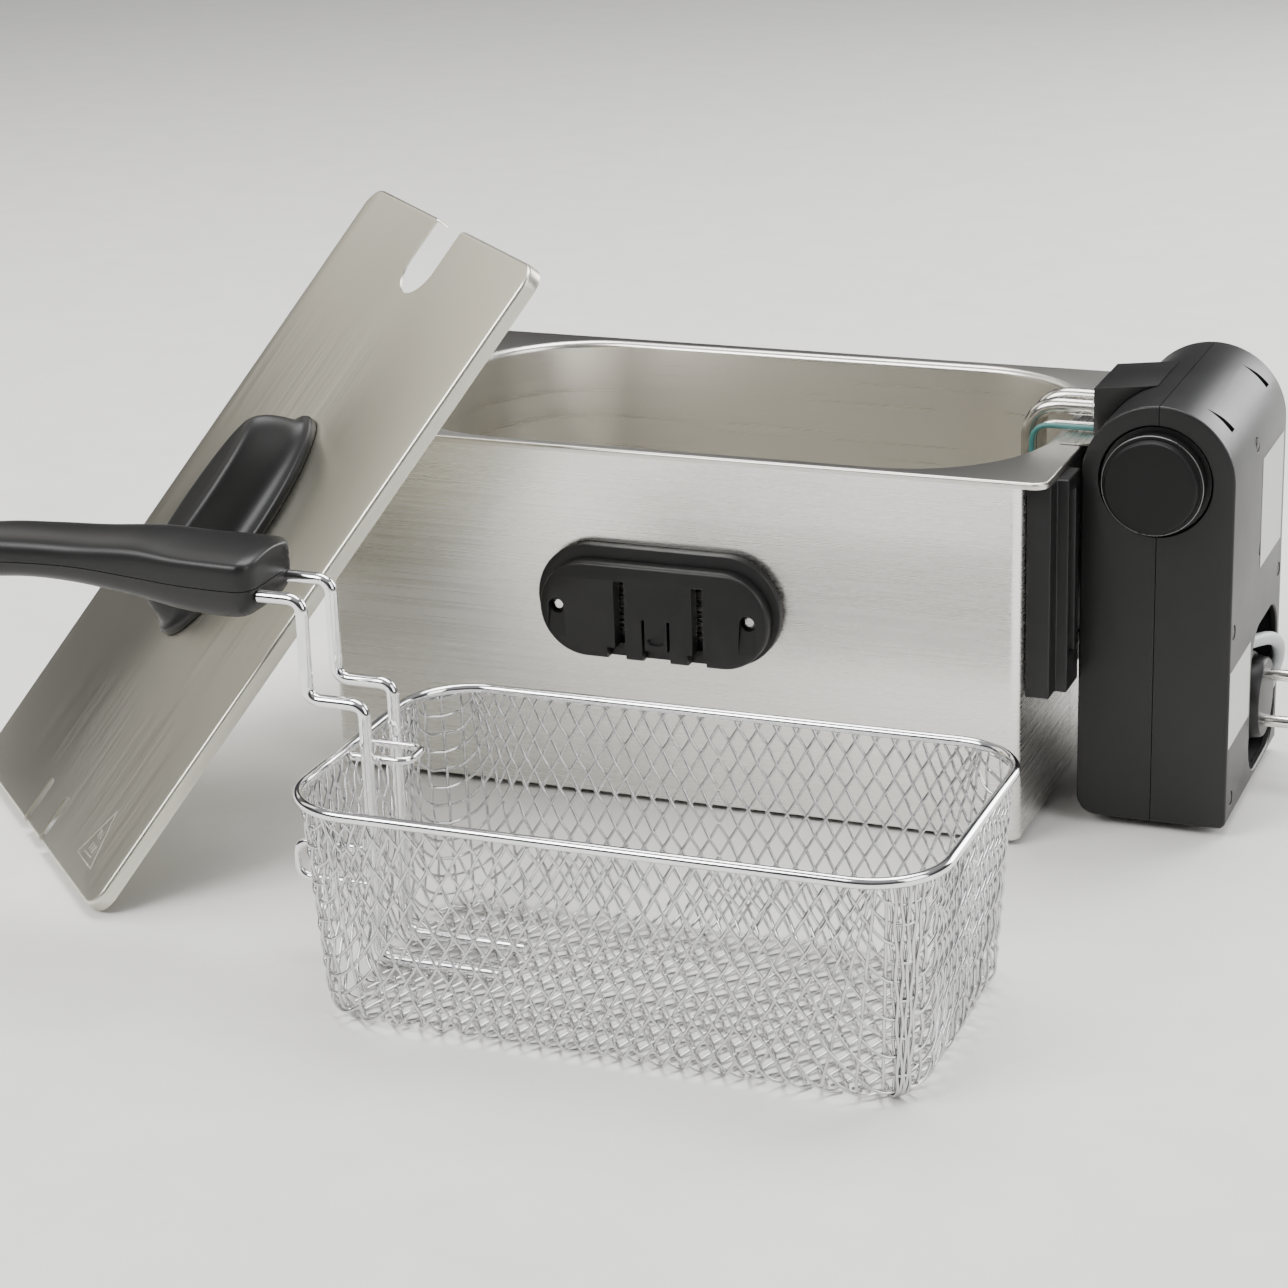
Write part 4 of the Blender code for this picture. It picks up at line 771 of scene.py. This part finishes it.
def shell_section(side, inset):
    """The shell's outline in X and Z, from the seam at the top round to the seam at the bottom."""
    reach = UNIT_HALF_THICKNESS - inset
    seam = side * GAP / 2
    corner = (UNIT_CORNER_INNER if side < 0 else UNIT_CORNER_OUTER) - inset * 0.5
    points = []
    for sine, _ in quarter(28):
        depth = max(abs(seam), reach * sine)
        points.append((UNIT_X + side * depth, UNIT_AXIS_Z + (reach**2 - min(depth, reach) ** 2) ** 0.5))
    low = UNIT_Z0 + inset
    points += [(UNIT_X + side * (reach - corner + corner * cosine), low + corner - corner * sine)
               for sine, cosine in quarter(10)]
    points.append((UNIT_X + seam, low))
    return points


def control_shell(side, name, node):
    """One half of the unit's case, hollow and open along the middle plane, its end edges rounded."""
    edge, half = 0.0010, UNIT_HALF_DEPTH

    def ring(inset, y):
        return [(x, y, z) for x, z in shell_section(side, inset)]

    rounding = [(edge - edge * sine, half - edge + edge * cosine) for sine, cosine in quarter(4)]
    outer = [ring(inset, -y) for inset, y in rounding]
    outer += [ring(inset, y) for inset, y in reversed(rounding)]
    shell = mesh_piece(name, loft(outer), "black", "control_unit", (node,), smooth_below=30)
    # the hollow reaches past the seam, so that the half is open there
    seam_x, past_seam = UNIT_X + side * GAP / 2, 0.0040
    hollow = [(x if abs(x - seam_x) > 0.00001 else x - side * past_seam, z)
              for x, z in shell_section(side, UNIT_WALL)]
    cut(shell, upright(hollow, UNIT_WALL - half, half - UNIT_WALL), "hollow")
    return shell


def control_shells():
    """The unit's two shells, with the dial's well, the cord recess, the vents and the screws' counterbores."""
    inner = control_shell(-1, "unit_shell_inner", "control_shell_inner")
    outer = control_shell(1, "unit_shell_outer", "control_shell_outer")
    front, face = -UNIT_HALF_DEPTH, UNIT_X + UNIT_HALF_THICKNESS
    for shell in (inner, outer):
        well = turned([(front - 0.0020, WELL_RADIUS + 0.0006), (front + 0.0001, WELL_RADIUS + 0.0006),
                       (front + 0.0008, WELL_RADIUS), (front + 0.0060, WELL_RADIUS)], "Y", 72)
        bmesh.ops.translate(well, vec=(KNOB_X, 0.0, UNIT_AXIS_Z), verts=well.verts)
        cut(shell, well, "dial_well")
    button = upright(arc_loop(BUTTON_X, BUTTON_Z, BUTTON_RADIUS + 0.0005, 32), 0.0400, 0.0600)
    cut(inner, button, "button_hole")

    def recess(grow, x):
        outline = rounded_rectangle(RECESS_HALF_Y + grow, RECESS_HALF_Z + grow, RECESS_CORNER + grow, 16,
                                    (RECESS_Y, RECESS_Z))
        return [(x, y, z) for y, z in outline]

    cut(outer, loft([recess(0.0, 0.2050), recess(0.0, face - 0.0006), recess(0.0008, face + 0.0002),
                     recess(0.0008, face + 0.0100)]), "cord_recess")
    bore, chamfer = 0.0030, 0.0034
    for y, z in SCREW_PLACES:
        counterbore = turned([(face - 0.0022, bore), (face - 0.0003, bore), (face + 0.0001, chamfer),
                              (face + 0.0020, chamfer)], "X", 28)
        bmesh.ops.translate(counterbore, vec=(0.0, y, z), verts=counterbore.verts)
        cut(outer, counterbore, "screw_bore")
    for y in VENT_Y:
        cut(outer, vent(y), "vent")


def vent(y):
    """A wedge-shaped slot across the round top, pointed towards the middle and cut down into the case."""
    wedge = ((-0.0068, 0.0), (-0.0030, -0.0010), (0.0065, -0.0026), (0.0065, 0.0026), (-0.0030, 0.0010))
    slant = 0.25
    rings = []
    for radius in (UNIT_HALF_THICKNESS - 0.0060, UNIT_HALF_THICKNESS + 0.0040):
        ring = []
        for along, across in wedge:
            angle = radians(47) - along / UNIT_HALF_THICKNESS
            ring.append((UNIT_X + radius * cos(angle), y + across + along * slant,
                         UNIT_AXIS_Z + radius * sin(angle)))
        rings.append(ring)
    return loft(rings)


def unit_labels():
    """Blank labels where the unit carries its ratings, just proud of the flat face."""
    face = UNIT_X + UNIT_HALF_THICKNESS
    for name, y0, y1, z0, z1 in (("rating_label", -0.0490, -0.0105, 0.0370, 0.0680),
                                 ("side_label", 0.0035, 0.0445, 0.0940, 0.1385)):
        outline = [(y0, z0), (y1, z0), (y1, z1), (y0, z1)]
        mesh_piece(name, sideways(outline, face + 0.00003, face + 0.00018), "label", "control_unit")


def element_head():
    """The block over the bowl's flange that carries the tubes, with a ferrule round each."""
    clear = UNIT_HALF_THICKNESS + GAP
    start = pi - asin((HEAD_Z0 - UNIT_AXIS_Z) / clear)
    end = pi - asin((HEAD_Z1 + HEAD_RISE - UNIT_AXIS_Z) / clear)
    seat = arc(UNIT_X, UNIT_AXIS_Z, clear, start, end, 24)
    outline = [(HEAD_X0, HEAD_Z0)] + seat + [(HEAD_X0, HEAD_Z1)]
    head = mesh_piece("tube_head", upright(outline, -HEAD_HALF_WIDTH, HEAD_HALF_WIDTH), "black",
                      "control_unit", ("element_head",), smooth_below=20)
    soften(head, 0.0010)
    profile = [(HEAD_X0 - 0.0030, TUBE_RADIUS + 0.0001), (HEAD_X0 - 0.0029, TUBE_RADIUS + 0.0009),
               (HEAD_X0 - 0.0022, TUBE_RADIUS + 0.0013), (HEAD_X0 - 0.0001, TUBE_RADIUS + 0.0013)]
    for y, name in zip(TUBE_Y, ("rear", "front")):
        mesh_piece(f"tube_ferrule_{name}", turned(profile, "X", 40), "screw", "control_unit", (),
                   Matrix.Translation((0.0, y, TUBE_Z)))


def heating_element():
    """One bent tube: over the flange, down the end wall, in four rows over the floor, and back."""
    start_x, turn_x, far_x, near_x = HEAD_X0 - GAP, 0.0920, -0.1000, 0.0620
    rows = (0.0470, 0.0170, -0.0140, -0.0440)
    first, last = TUBE_Y
    corners = [
        (start_x, first, TUBE_Z), (TUBE_DROP_X, first, TUBE_Z), (TUBE_DROP_X, first, ELEMENT_Z),
        (turn_x, first, ELEMENT_Z), (turn_x, rows[0], ELEMENT_Z), (far_x, rows[0], ELEMENT_Z),
        (far_x, rows[1], ELEMENT_Z), (near_x, rows[1], ELEMENT_Z), (near_x, rows[2], ELEMENT_Z),
        (far_x, rows[2], ELEMENT_Z), (far_x, rows[3], ELEMENT_Z), (turn_x, rows[3], ELEMENT_Z),
        (turn_x, last, ELEMENT_Z), (TUBE_DROP_X, last, ELEMENT_Z), (TUBE_DROP_X, last, TUBE_Z),
        (start_x, last, TUBE_Z),
    ]
    wire_piece("element_tube", filleted(corners, 0.0180, 14), TUBE_RADIUS, "tube", "control_unit",
               ("heating_element",), resolution=8)


def sensing_tube(name, node, y, z, drop_x, bulb_z, finish):
    """A thin capillary from the head, over the flange and down, ending in a fatter bulb over the element."""
    bulb_x = 0.1050
    corners = [(HEAD_X0 - GAP, y, z), (drop_x, y, z), (drop_x, y, bulb_z), (bulb_x, y, bulb_z)]
    route = filleted(corners, 0.0080, 12)
    scales = [1.0] * len(route)
    for along, scale in ((0.0008, 1.5), (0.0020, BULB_SCALE), (0.0530, BULB_SCALE), (0.0542, 2.0),
                         (0.0550, 1.0)):
        route.append((bulb_x - along, y, bulb_z))
        scales.append(scale)
    wire_piece(name, route, CAPILLARY_RADIUS, finish, "control_unit", (node,), scales=scales)


def knob():
    """The dial: a round cap with a fine bright line round its shoulder, a thin chrome ring that paints in the
    highlight of the shoulder's edge, and a narrower, raised face.
    """
    front = -UNIT_HALF_DEPTH
    back, face = front + 0.0006, front - KNOB_HEIGHT
    axis = Matrix.Translation((KNOB_X, 0.0, UNIT_AXIS_Z))
    step = face + KNOB_FACE_RISE
    profile = [(back, KNOB_RADIUS - 0.0006), (front - 0.0002, KNOB_RADIUS), (step + 0.0008, KNOB_RADIUS),
               (step + 0.0002, KNOB_RADIUS - 0.0003), (step, KNOB_RADIUS - 0.0008),
               (step, KNOB_FACE_RADIUS + 0.0002), (step - 0.0003, KNOB_FACE_RADIUS),
               (face + 0.0010, KNOB_FACE_RADIUS), (face + 0.0004, KNOB_FACE_RADIUS - 0.0002),
               (face + 0.0001, KNOB_FACE_RADIUS - 0.0005), (face, KNOB_FACE_RADIUS - 0.0010),
               (face, 0.0060), (face, 0.0010)]
    mesh_piece("dial_knob", turned(profile, "Y", 96), "knob", "dial", ("thermostat_knob",), axis)
    # painted highlight: a thin chrome ring standing in for the shine on the knob's shoulder edge
    ring = [(x, step + 0.0004, z) for x, z in arc_loop(0.0, 0.0, KNOB_RADIUS - 0.0001, 96)]
    wire_piece("dial_painted_highlight_ring", ring, 0.00022, "ring", "dial", (), axis, cyclic=True, resolution=3)


# ---------------------------------------------------------------- lid


def lid_matrix():
    """The lid's own frame: x across, y up its length, z out of its face, standing on its skirt's edge."""
    across = Vector((-cos(LID_HEADING), -sin(LID_HEADING), 0.0))
    up_slope = Vector((sin(LID_HEADING) * cos(LID_SLOPE), -cos(LID_HEADING) * cos(LID_SLOPE), sin(LID_SLOPE)))
    outward = across.cross(up_slope)
    matrix = Matrix((across, up_slope, outward)).transposed().to_4x4()
    near_corner = Vector((LID_CORNER_X, LID_CORNER_Y, LID_SKIRT * outward.z))
    matrix.translation = near_corner - across * LID_WIDTH
    return matrix


def lid_sheet():
    """A pressed sheet with a turned-down skirt, a round-ended notch at one end and two slots at the other."""
    def outline(inset, z):
        return level(rounded_rectangle(LID_WIDTH / 2 - inset, LID_LENGTH / 2 - inset,
                                       max(LID_CORNER - inset, 0.001), 16,
                                       (LID_WIDTH / 2, LID_LENGTH / 2)), z)

    bend = 0.0016
    under = bend - LID_SHEET
    skin = [outline(bend * (1 - sine), -bend * (1 - cosine)) for sine, cosine in quarter(6)]
    skin += [outline(0.0, -LID_SKIRT), outline(LID_SHEET, -LID_SKIRT)]
    skin += [outline(LID_SHEET + under * (1 - sine), -LID_SHEET - under * (1 - cosine))
             for sine, cosine in reversed(quarter(6))]
    lid = mesh_piece("lid_panel", loft(skin), "lid", "lid", ("lid_sheet",), lid_matrix())
    middle, end = LID_WIDTH / 2, LID_LENGTH - LID_NOTCH_DEPTH + LID_NOTCH_HALF_WIDTH
    flare, beyond = 0.0030, 0.01
    right, left = middle + LID_NOTCH_HALF_WIDTH + flare, middle - LID_NOTCH_HALF_WIDTH - flare
    notch = arc(middle, end, LID_NOTCH_HALF_WIDTH, pi, 2 * pi, 36)
    notch += arc(right, LID_LENGTH - flare, flare, pi, pi / 2, 8)
    notch += [(right, LID_LENGTH + beyond), (left, LID_LENGTH + beyond)]
    notch += arc(left, LID_LENGTH - flare, flare, pi / 2, 0, 8)
    cut(lid, prism(notch, -0.02, 0.01), "notch")
    half = LID_SLOT_WIDTH / 2
    for side in (-1, 1):
        x = middle + side * LID_SLOT_SPACING / 2
        slot = arc(x, LID_SLOT_LENGTH - half, half, 0, pi, 16) + [(x - half, -beyond), (x + half, -beyond)]
        cut(lid, prism(slot, -0.02, 0.01), "slot")
    shade(lid.data, 35)


def lid_handle():
    """A flat oval foot that sweeps up through a waist into a long grip for the fingers."""
    sections = [
        (0.0223, 0.0517, GAP), (0.0226, 0.0520, 0.0008), (0.0226, 0.0520, 0.0028),
        (0.0222, 0.0516, 0.0036), (0.0212, 0.0508, 0.0040), (0.0194, 0.0497, 0.0044),
        (0.0176, 0.0488, 0.0052), (0.0158, 0.0480, 0.0066), (0.0144, 0.0472, 0.0088),
        (0.0132, 0.0462, 0.0118), (0.0122, 0.0448, 0.0150), (0.0113, 0.0430, 0.0182),
        (0.0105, 0.0408, 0.0210), (0.0100, 0.0395, 0.0222), (0.0094, 0.0380, 0.0231),
        (0.0084, 0.0360, 0.0237), (0.0070, 0.0330, 0.0240), (0.0035, 0.0250, 0.0241),
    ]
    circle = arc_loop(0.0, 0.0, 1.0, 80)
    rings = [[(LID_WIDTH / 2 + half_x * x, LID_HANDLE_Y + half_y * y, z) for x, y in circle]
             for half_x, half_y, z in sections]
    mesh_piece("lid_grip", loft(rings), "black", "lid", ("lid_handle",), lid_matrix(), smooth_below=50)


def warning_mark():
    """A warning triangle of thin raised lines near the lid's corner, with a bar and two rows of strokes."""
    left, right = MARK_X - MARK_HALF_WIDTH, MARK_X + MARK_HALF_WIDTH
    low, high = MARK_Y, MARK_Y + MARK_HEIGHT
    lean = 0.0006
    strokes = [((left, low), (right, low)), ((right, low), (MARK_X, high)), ((MARK_X, high), (left, low)),
               ((MARK_X - 0.0038, low + 0.0028), (MARK_X + 0.0038, low + 0.0028))]
    for offset in (-0.0022, 0.0, 0.0022):
        x, upper_x = MARK_X + offset, MARK_X + offset * 0.7
        strokes.append(((x, low + 0.0045), (x + lean, low + 0.0072)))
        strokes.append(((upper_x, low + 0.0105), (upper_x - lean, low + 0.0132)))
    whole = bmesh.new()
    for start, end in strokes:
        start, end = Vector(start), Vector(end)
        along = (end - start).normalized() * MARK_LINE / 2
        side = Vector((-along.y, along.x))
        outline = [start - along - side, end + along - side, end + along + side, start - along + side]
        mesh = as_mesh("stroke", prism(outline, 0.0, MARK_RISE))
        whole.from_mesh(mesh)
        bpy.data.meshes.remove(mesh)
    mesh_piece("warning_mark", whole, "mark", "lid", (), lid_matrix())


# ---------------------------------------------------------------- basket


def basket_frame():
    return Matrix.Translation((BASKET_X, BASKET_Y, 0.0))


STRAIGHT_X = BASKET_HALF_LENGTH - RIM_RADIUS - BASKET_CORNER
STRAIGHT_Y = BASKET_HALF_WIDTH - RIM_RADIUS - BASKET_CORNER
MESH_INSET = MESH_RADIUS + WEAVE
MESH_FLAT = BASKET_CORNER - BASKET_TAPER - BASKET_FOLD
MESH_FOLD = BASKET_FOLD - MESH_INSET
MESH_TOP = BASKET_HEIGHT - RIM_RADIUS * 0.4
MESH_LEAN = atan2(BASKET_TAPER, MESH_TOP - BASKET_FOLD)
MESH_RUN = MESH_FOLD * pi / 2 + (MESH_TOP - MESH_INSET - MESH_FOLD) / cos(MESH_LEAN)


def up_the_wall(up, lift):
    """How far out and how high a wire is after running up the fold and the wall, lifted along its normal."""
    if up <= 0:
        return MESH_FLAT + up, MESH_INSET - lift
    if up <= MESH_FOLD * pi / 2:
        angle = up / MESH_FOLD
        return (MESH_FLAT + (MESH_FOLD + lift) * sin(angle),
                MESH_INSET + MESH_FOLD - (MESH_FOLD + lift) * cos(angle))
    past = up - MESH_FOLD * pi / 2
    out = MESH_FLAT + MESH_FOLD + lift + past * sin(MESH_LEAN)
    return out, MESH_INSET + MESH_FOLD + past * cos(MESH_LEAN)


def eased(along):
    """How far the cells have leaned over into diamonds at a distance from a corner's middle."""
    share = min(1.0, max(0.0, (along - EASE_START) / EASE_LENGTH))
    return share * share * (3 - 2 * share)


def eased_length(along):
    share = min(1.0, max(0.0, (along - EASE_START) / EASE_LENGTH))
    return EASE_LENGTH * (share**3 - share**4 / 2) + max(0.0, along - EASE_START - EASE_LENGTH)


def lying_wire(k, along):
    """The height up the wall of the k-th wire that crosses a corner lying down and climbs away from it."""
    rise = SQUARE_CELL + (CELL_HEIGHT - SQUARE_CELL) * eased(along)
    return SQUARE_SLOPE * along + (WIRE_SLOPE - SQUARE_SLOPE) * eased_length(along) + k * rise


def lying_count(up, along):
    return (up - lying_wire(0, along)) / (SQUARE_CELL + (CELL_HEIGHT - SQUARE_CELL) * eased(along))


# The height at which the standing wires are evenly spaced, and the distances from a corner's middle to the
# middles of the walls, all chosen so that the wires of neighbouring corners and of the floor meet
OFF_CORNER = (WIRE_SLOPE - SQUARE_SLOPE) * (EASE_START + EASE_LENGTH / 2)
EVEN_UP = (OFF_CORNER - 2 * (STRAIGHT_Y + MESH_FLAT)) % CELL_HEIGHT + 3 * CELL_HEIGHT


def meeting_distance(near):
    phase = EVEN_UP + OFF_CORNER
    turns = round((2 * WIRE_SLOPE * near - phase) / CELL_HEIGHT)
    return (phase + turns * CELL_HEIGHT) / (2 * WIRE_SLOPE)


LONG_RUN = meeting_distance(STRAIGHT_X + 0.0180)
CORNER_ARC = LONG_RUN - STRAIGHT_X
END_RUN = meeting_distance(STRAIGHT_Y + CORNER_ARC)
END_STRETCH = (STRAIGHT_Y + CORNER_ARC) / END_RUN


def standing_wire(first, up):
    """The distance from a corner's middle of the wire that starts at first: further out, it leans more."""
    return first - eased(first) / WIRE_SLOPE * (up - EVEN_UP)


def standing_count(along, up):
    first = along
    for _ in range(4):
        first = along + eased(first) / WIRE_SLOPE * (up - EVEN_UP)
    return first / CELL_WIDTH


def on_wall(sx, sy, along, up, lift):
    """The place of a mesh point: along is positive towards the long wall's middle, else towards the end's."""
    out, z = up_the_wall(up, lift)
    distance = along if along >= 0 else -along * END_STRETCH
    turn = pi / 4 * min(1.0, distance / CORNER_ARC)
    straight = max(0.0, distance - CORNER_ARC)
    angle = pi / 4 + (turn if along >= 0 else -turn)
    cx = STRAIGHT_X - (straight if along >= 0 else 0.0)
    cy = STRAIGHT_Y - (straight if along < 0 else 0.0)
    return Vector((sx * (cx + out * cos(angle)), sy * (cy + out * sin(angle)), z))


def wall_wires(sx, sy):
    """The wires round one corner and half way along both its walls: squares at the corner, then diamonds."""
    runs = []
    steps_up = int(MESH_RUN / 0.0009)
    for direction, reach in ((1, LONG_RUN), (-1, END_RUN)):
        for j in range(0 if direction > 0 else 1, int((reach + 0.03) / CELL_WIDTH) + 1):
            run = []
            for i in range(steps_up + 1):
                up = MESH_RUN * i / steps_up
                along = standing_wire(j * CELL_WIDTH, up)
                if along > reach:
                    continue
                lift = -WEAVE * cos(pi * (lying_count(up, along) + j))
                run.append(on_wall(sx, sy, direction * along, up, lift))
            runs.append(run)
    lowest = -int(lying_wire(0, LONG_RUN) / CELL_HEIGHT) - 1
    for k in range(lowest, int(MESH_RUN / SQUARE_CELL) + 1):
        run = []
        for i in range(-int(END_RUN / 0.0005), int(LONG_RUN / 0.0005) + 1):
            along = i * 0.0005
            up = lying_wire(k, abs(along))
            if 0.0 <= up <= MESH_RUN:
                lift = WEAVE * cos(pi * (standing_count(abs(along), up) + k))
                run.append(on_wall(sx, sy, along, up, lift))
            elif run:
                runs.append(run)
                run = []
        runs.append(run)
    return runs


def floor_wires():
    """The floor's two families of slanting wires, up to the start of the fold."""
    runs = []
    phase = (STRAIGHT_Y + MESH_FLAT + lying_wire(0, LONG_RUN)) % CELL_HEIGHT
    half_p, half_q = STRAIGHT_X + MESH_FLAT, STRAIGHT_Y + MESH_FLAT
    count = int((half_q + WIRE_SLOPE * half_p) / CELL_HEIGHT) + 2
    step = CELL_WIDTH / 10
    for direction in (1, -1):
        for k in range(-count, count + 1):
            run = []
            for i in range(-int(half_p / step) - 1, int(half_p / step) + 2):
                p = i * step
                q = direction * WIRE_SLOPE * p + k * CELL_HEIGHT + phase
                dx, dy = max(0.0, abs(p) - STRAIGHT_X), max(0.0, abs(q) - STRAIGHT_Y)
                if sqrt(dx * dx + dy * dy) <= MESH_FLAT + 0.0006:
                    lift = direction * WEAVE * cos(2 * pi * p / CELL_WIDTH)
                    run.append(Vector((p, q, MESH_INSET - lift)))
            runs.append(run)
    return runs


def gathered_wires():
    """The pleat at the corner beside the control unit, where the sheet's spare width is gathered up."""
    wires, points, lift = 11, 60, 0.0007
    runs = []
    for i in range(wires):
        run = []
        for n in range(points):
            share = n / (points - 1)
            spacing, wander = 0.0005 + 0.0007 * share, 0.0004 * sin(n * 0.5 + i * 1.7)
            along = (i - wires // 2) * spacing + wander
            run.append(on_wall(1, -1, along, MESH_RUN * share, lift if i % 2 else -lift))
        runs.append(run)
    return runs


def basket_mesh():
    curve = bpy.data.curves.new("basket_mesh", "CURVE")
    curve.dimensions = "3D"
    curve.bevel_depth = MESH_RADIUS
    curve.bevel_resolution = 1
    curve.use_fill_caps = True
    runs = floor_wires() + gathered_wires()
    for sx in (-1, 1):
        for sy in (-1, 1):
            runs += wall_wires(sx, sy)
    for run in runs:
        if len(run) < 4:
            continue
        spline = curve.splines.new("POLY")
        spline.points.add(len(run) - 1)
        for point, place_at in zip(spline.points, run):
            point.co = (*place_at, 1.0)
    mesh = bpy.data.objects.new("basket_mesh", curve)
    place(mesh, "mesh_chrome", "basket", ("basket_tub",), basket_frame())


def basket_wire(name, points, radius, node, resolution=6, cyclic=False):
    wire_piece(name, points, radius, "chrome", "basket", (node,), basket_frame(), cyclic,
               resolution=resolution)


def basket_wires():
    """The rim, the handle's two wires, the loop that braces them on the rim, and the hook on the end."""
    rim = rounded_rectangle(BASKET_HALF_LENGTH - RIM_RADIUS, BASKET_HALF_WIDTH - RIM_RADIUS, BASKET_CORNER,
                            24)
    basket_wire("rim_wire", level(rim, BASKET_HEIGHT), RIM_RADIUS, "basket_rim", 8, True)
    grip_x, end_x = GRIP_X1 + GAP - BASKET_X, -BASKET_X
    step_x, wall_x = WIRE_STEP_X - BASKET_X, WIRE_WALL_X - BASKET_X
    for side, row in ((-1, "front"), (1, "rear")):
        y = side * HANDLE_WIRE_Y
        corners = [(grip_x, y, WIRE_TOP_Z), (step_x, y, WIRE_TOP_Z), (step_x, y, WIRE_STEP_Z),
                   (wall_x, y, WIRE_STEP_Z), (wall_x, y, WIRE_FLOOR_Z), (end_x, y, WIRE_FLOOR_Z)]
        basket_wire(f"handle_rod_{row}", filleted(corners, HANDLE_WIRE_BEND, 14), HANDLE_WIRE_RADIUS,
                    f"handle_wire_{row}", 8)
    rim_x = -BASKET_HALF_LENGTH + 2 * RIM_RADIUS + GAP
    brace_x = rim_x + BRACE_LENGTH
    loop = [(rim_x, -BRACE_Y, BRACE_Z), (brace_x, -BRACE_Y, BRACE_Z), (brace_x, BRACE_Y, BRACE_Z),
            (rim_x, BRACE_Y, BRACE_Z)]
    basket_wire("brace", filleted(loop, 0.0050, 10), BRACE_RADIUS, "brace_loop")
    out_x, end_wall_x = HOOK_X - BASKET_X, HOOK_WALL_X - BASKET_X
    hook = [(end_wall_x, 0.0, HOOK_TOP), (out_x, 0.0, HOOK_TOP), (out_x, 0.0, HOOK_BOTTOM),
            (end_wall_x + 0.0006, 0.0, HOOK_BOTTOM)]
    basket_wire("hook_wire", filleted(hook, 0.0060, 10), BRACE_RADIUS, "drain_hook")


def grip_sections():
    """The grip's sections, with smooth ones worked out between those that shape it."""
    dense, between = [], 6
    first, last = GRIP_SECTIONS[:1], GRIP_SECTIONS[-1:]
    for four in zip(first + GRIP_SECTIONS, GRIP_SECTIONS, GRIP_SECTIONS[1:], GRIP_SECTIONS[2:] + last):
        for i in range(between):
            dense.append([catmull_rom(*values, i / between) for values in zip(*four)])
    return dense + [list(last[0])]


def grip_profile(sign, share):
    """Half of a grip section, from the seam to its middle, blended from a squared shape to a rounder one."""
    if sign > 0:
        squared = ((1.0, 0.0), (1.0, 0.25), (0.995, 0.50), (0.985, 0.64), (0.965, 0.73), (0.93, 0.79),
                   (0.87, 0.835), (0.75, 0.89), (0.55, 0.945), (0.28, 0.985), (0.0, 1.0))
    else:
        squared = ((1.0, 0.0), (0.995, 0.20), (0.98, 0.42), (0.94, 0.62), (0.88, 0.76), (0.80, 0.86),
                   (0.70, 0.925), (0.56, 0.965), (0.38, 0.99), (0.20, 0.998), (0.0, 1.0))
    points = []
    for (across, along), (sine, cosine) in zip(squared, quarter(len(squared) - 1)):
        points.append((across + (cosine - across) * share, along + (sine**0.8 - along) * share))
    return points


def grip_halves():
    """The grip's upper and lower mouldings, lofted through sections along its length."""
    for name, node, sign in (("grip_top", "grip_upper", 1), ("grip_bottom", "grip_lower", -1)):
        rings = []
        for x, width, seam, top, bottom in grip_sections():
            reach = (top - seam if sign > 0 else seam - bottom) - GAP / 2
            share = min(0.50, max(0.0, (ROUNDER_FROM_X - x) / ROUNDER_OVER))
            half = grip_profile(sign, share)
            outline = half + [(-across, along) for across, along in reversed(half[:-1])]
            rings.append([(x - BASKET_X, width * across, seam + sign * (GAP / 2 + reach * along))
                          for across, along in outline])
        mesh_piece(name, loft(rings), "grip", "basket", (node,), basket_frame(), smooth_below=42)


# ---------------------------------------------------------------- the whole scene


def build():
    make_materials()
    camera()
    power_cord()
    stage()
    dress_nodes()
    outer_housing()
    side_handle(-1, "front")
    side_handle(1, "rear")
    rail_bracket()
    oil_bowl()
    control_shells()
    unit_labels()
    element_head()
    heating_element()
    sensing_tube("probe_sleeve", "thermostat_probe", PROBE_Y, PROBE_Z, PROBE_DROP_X, PROBE_BULB_Z, "teal")
    sensing_tube("probe_bare", "cutout_probe", CUTOUT_Y, CUTOUT_Z, CUTOUT_DROP_X, CUTOUT_BULB_Z, "tube")
    knob()
    lid_sheet()
    lid_handle()
    warning_mark()
    basket_mesh()
    basket_wires()
    grip_halves()


build()
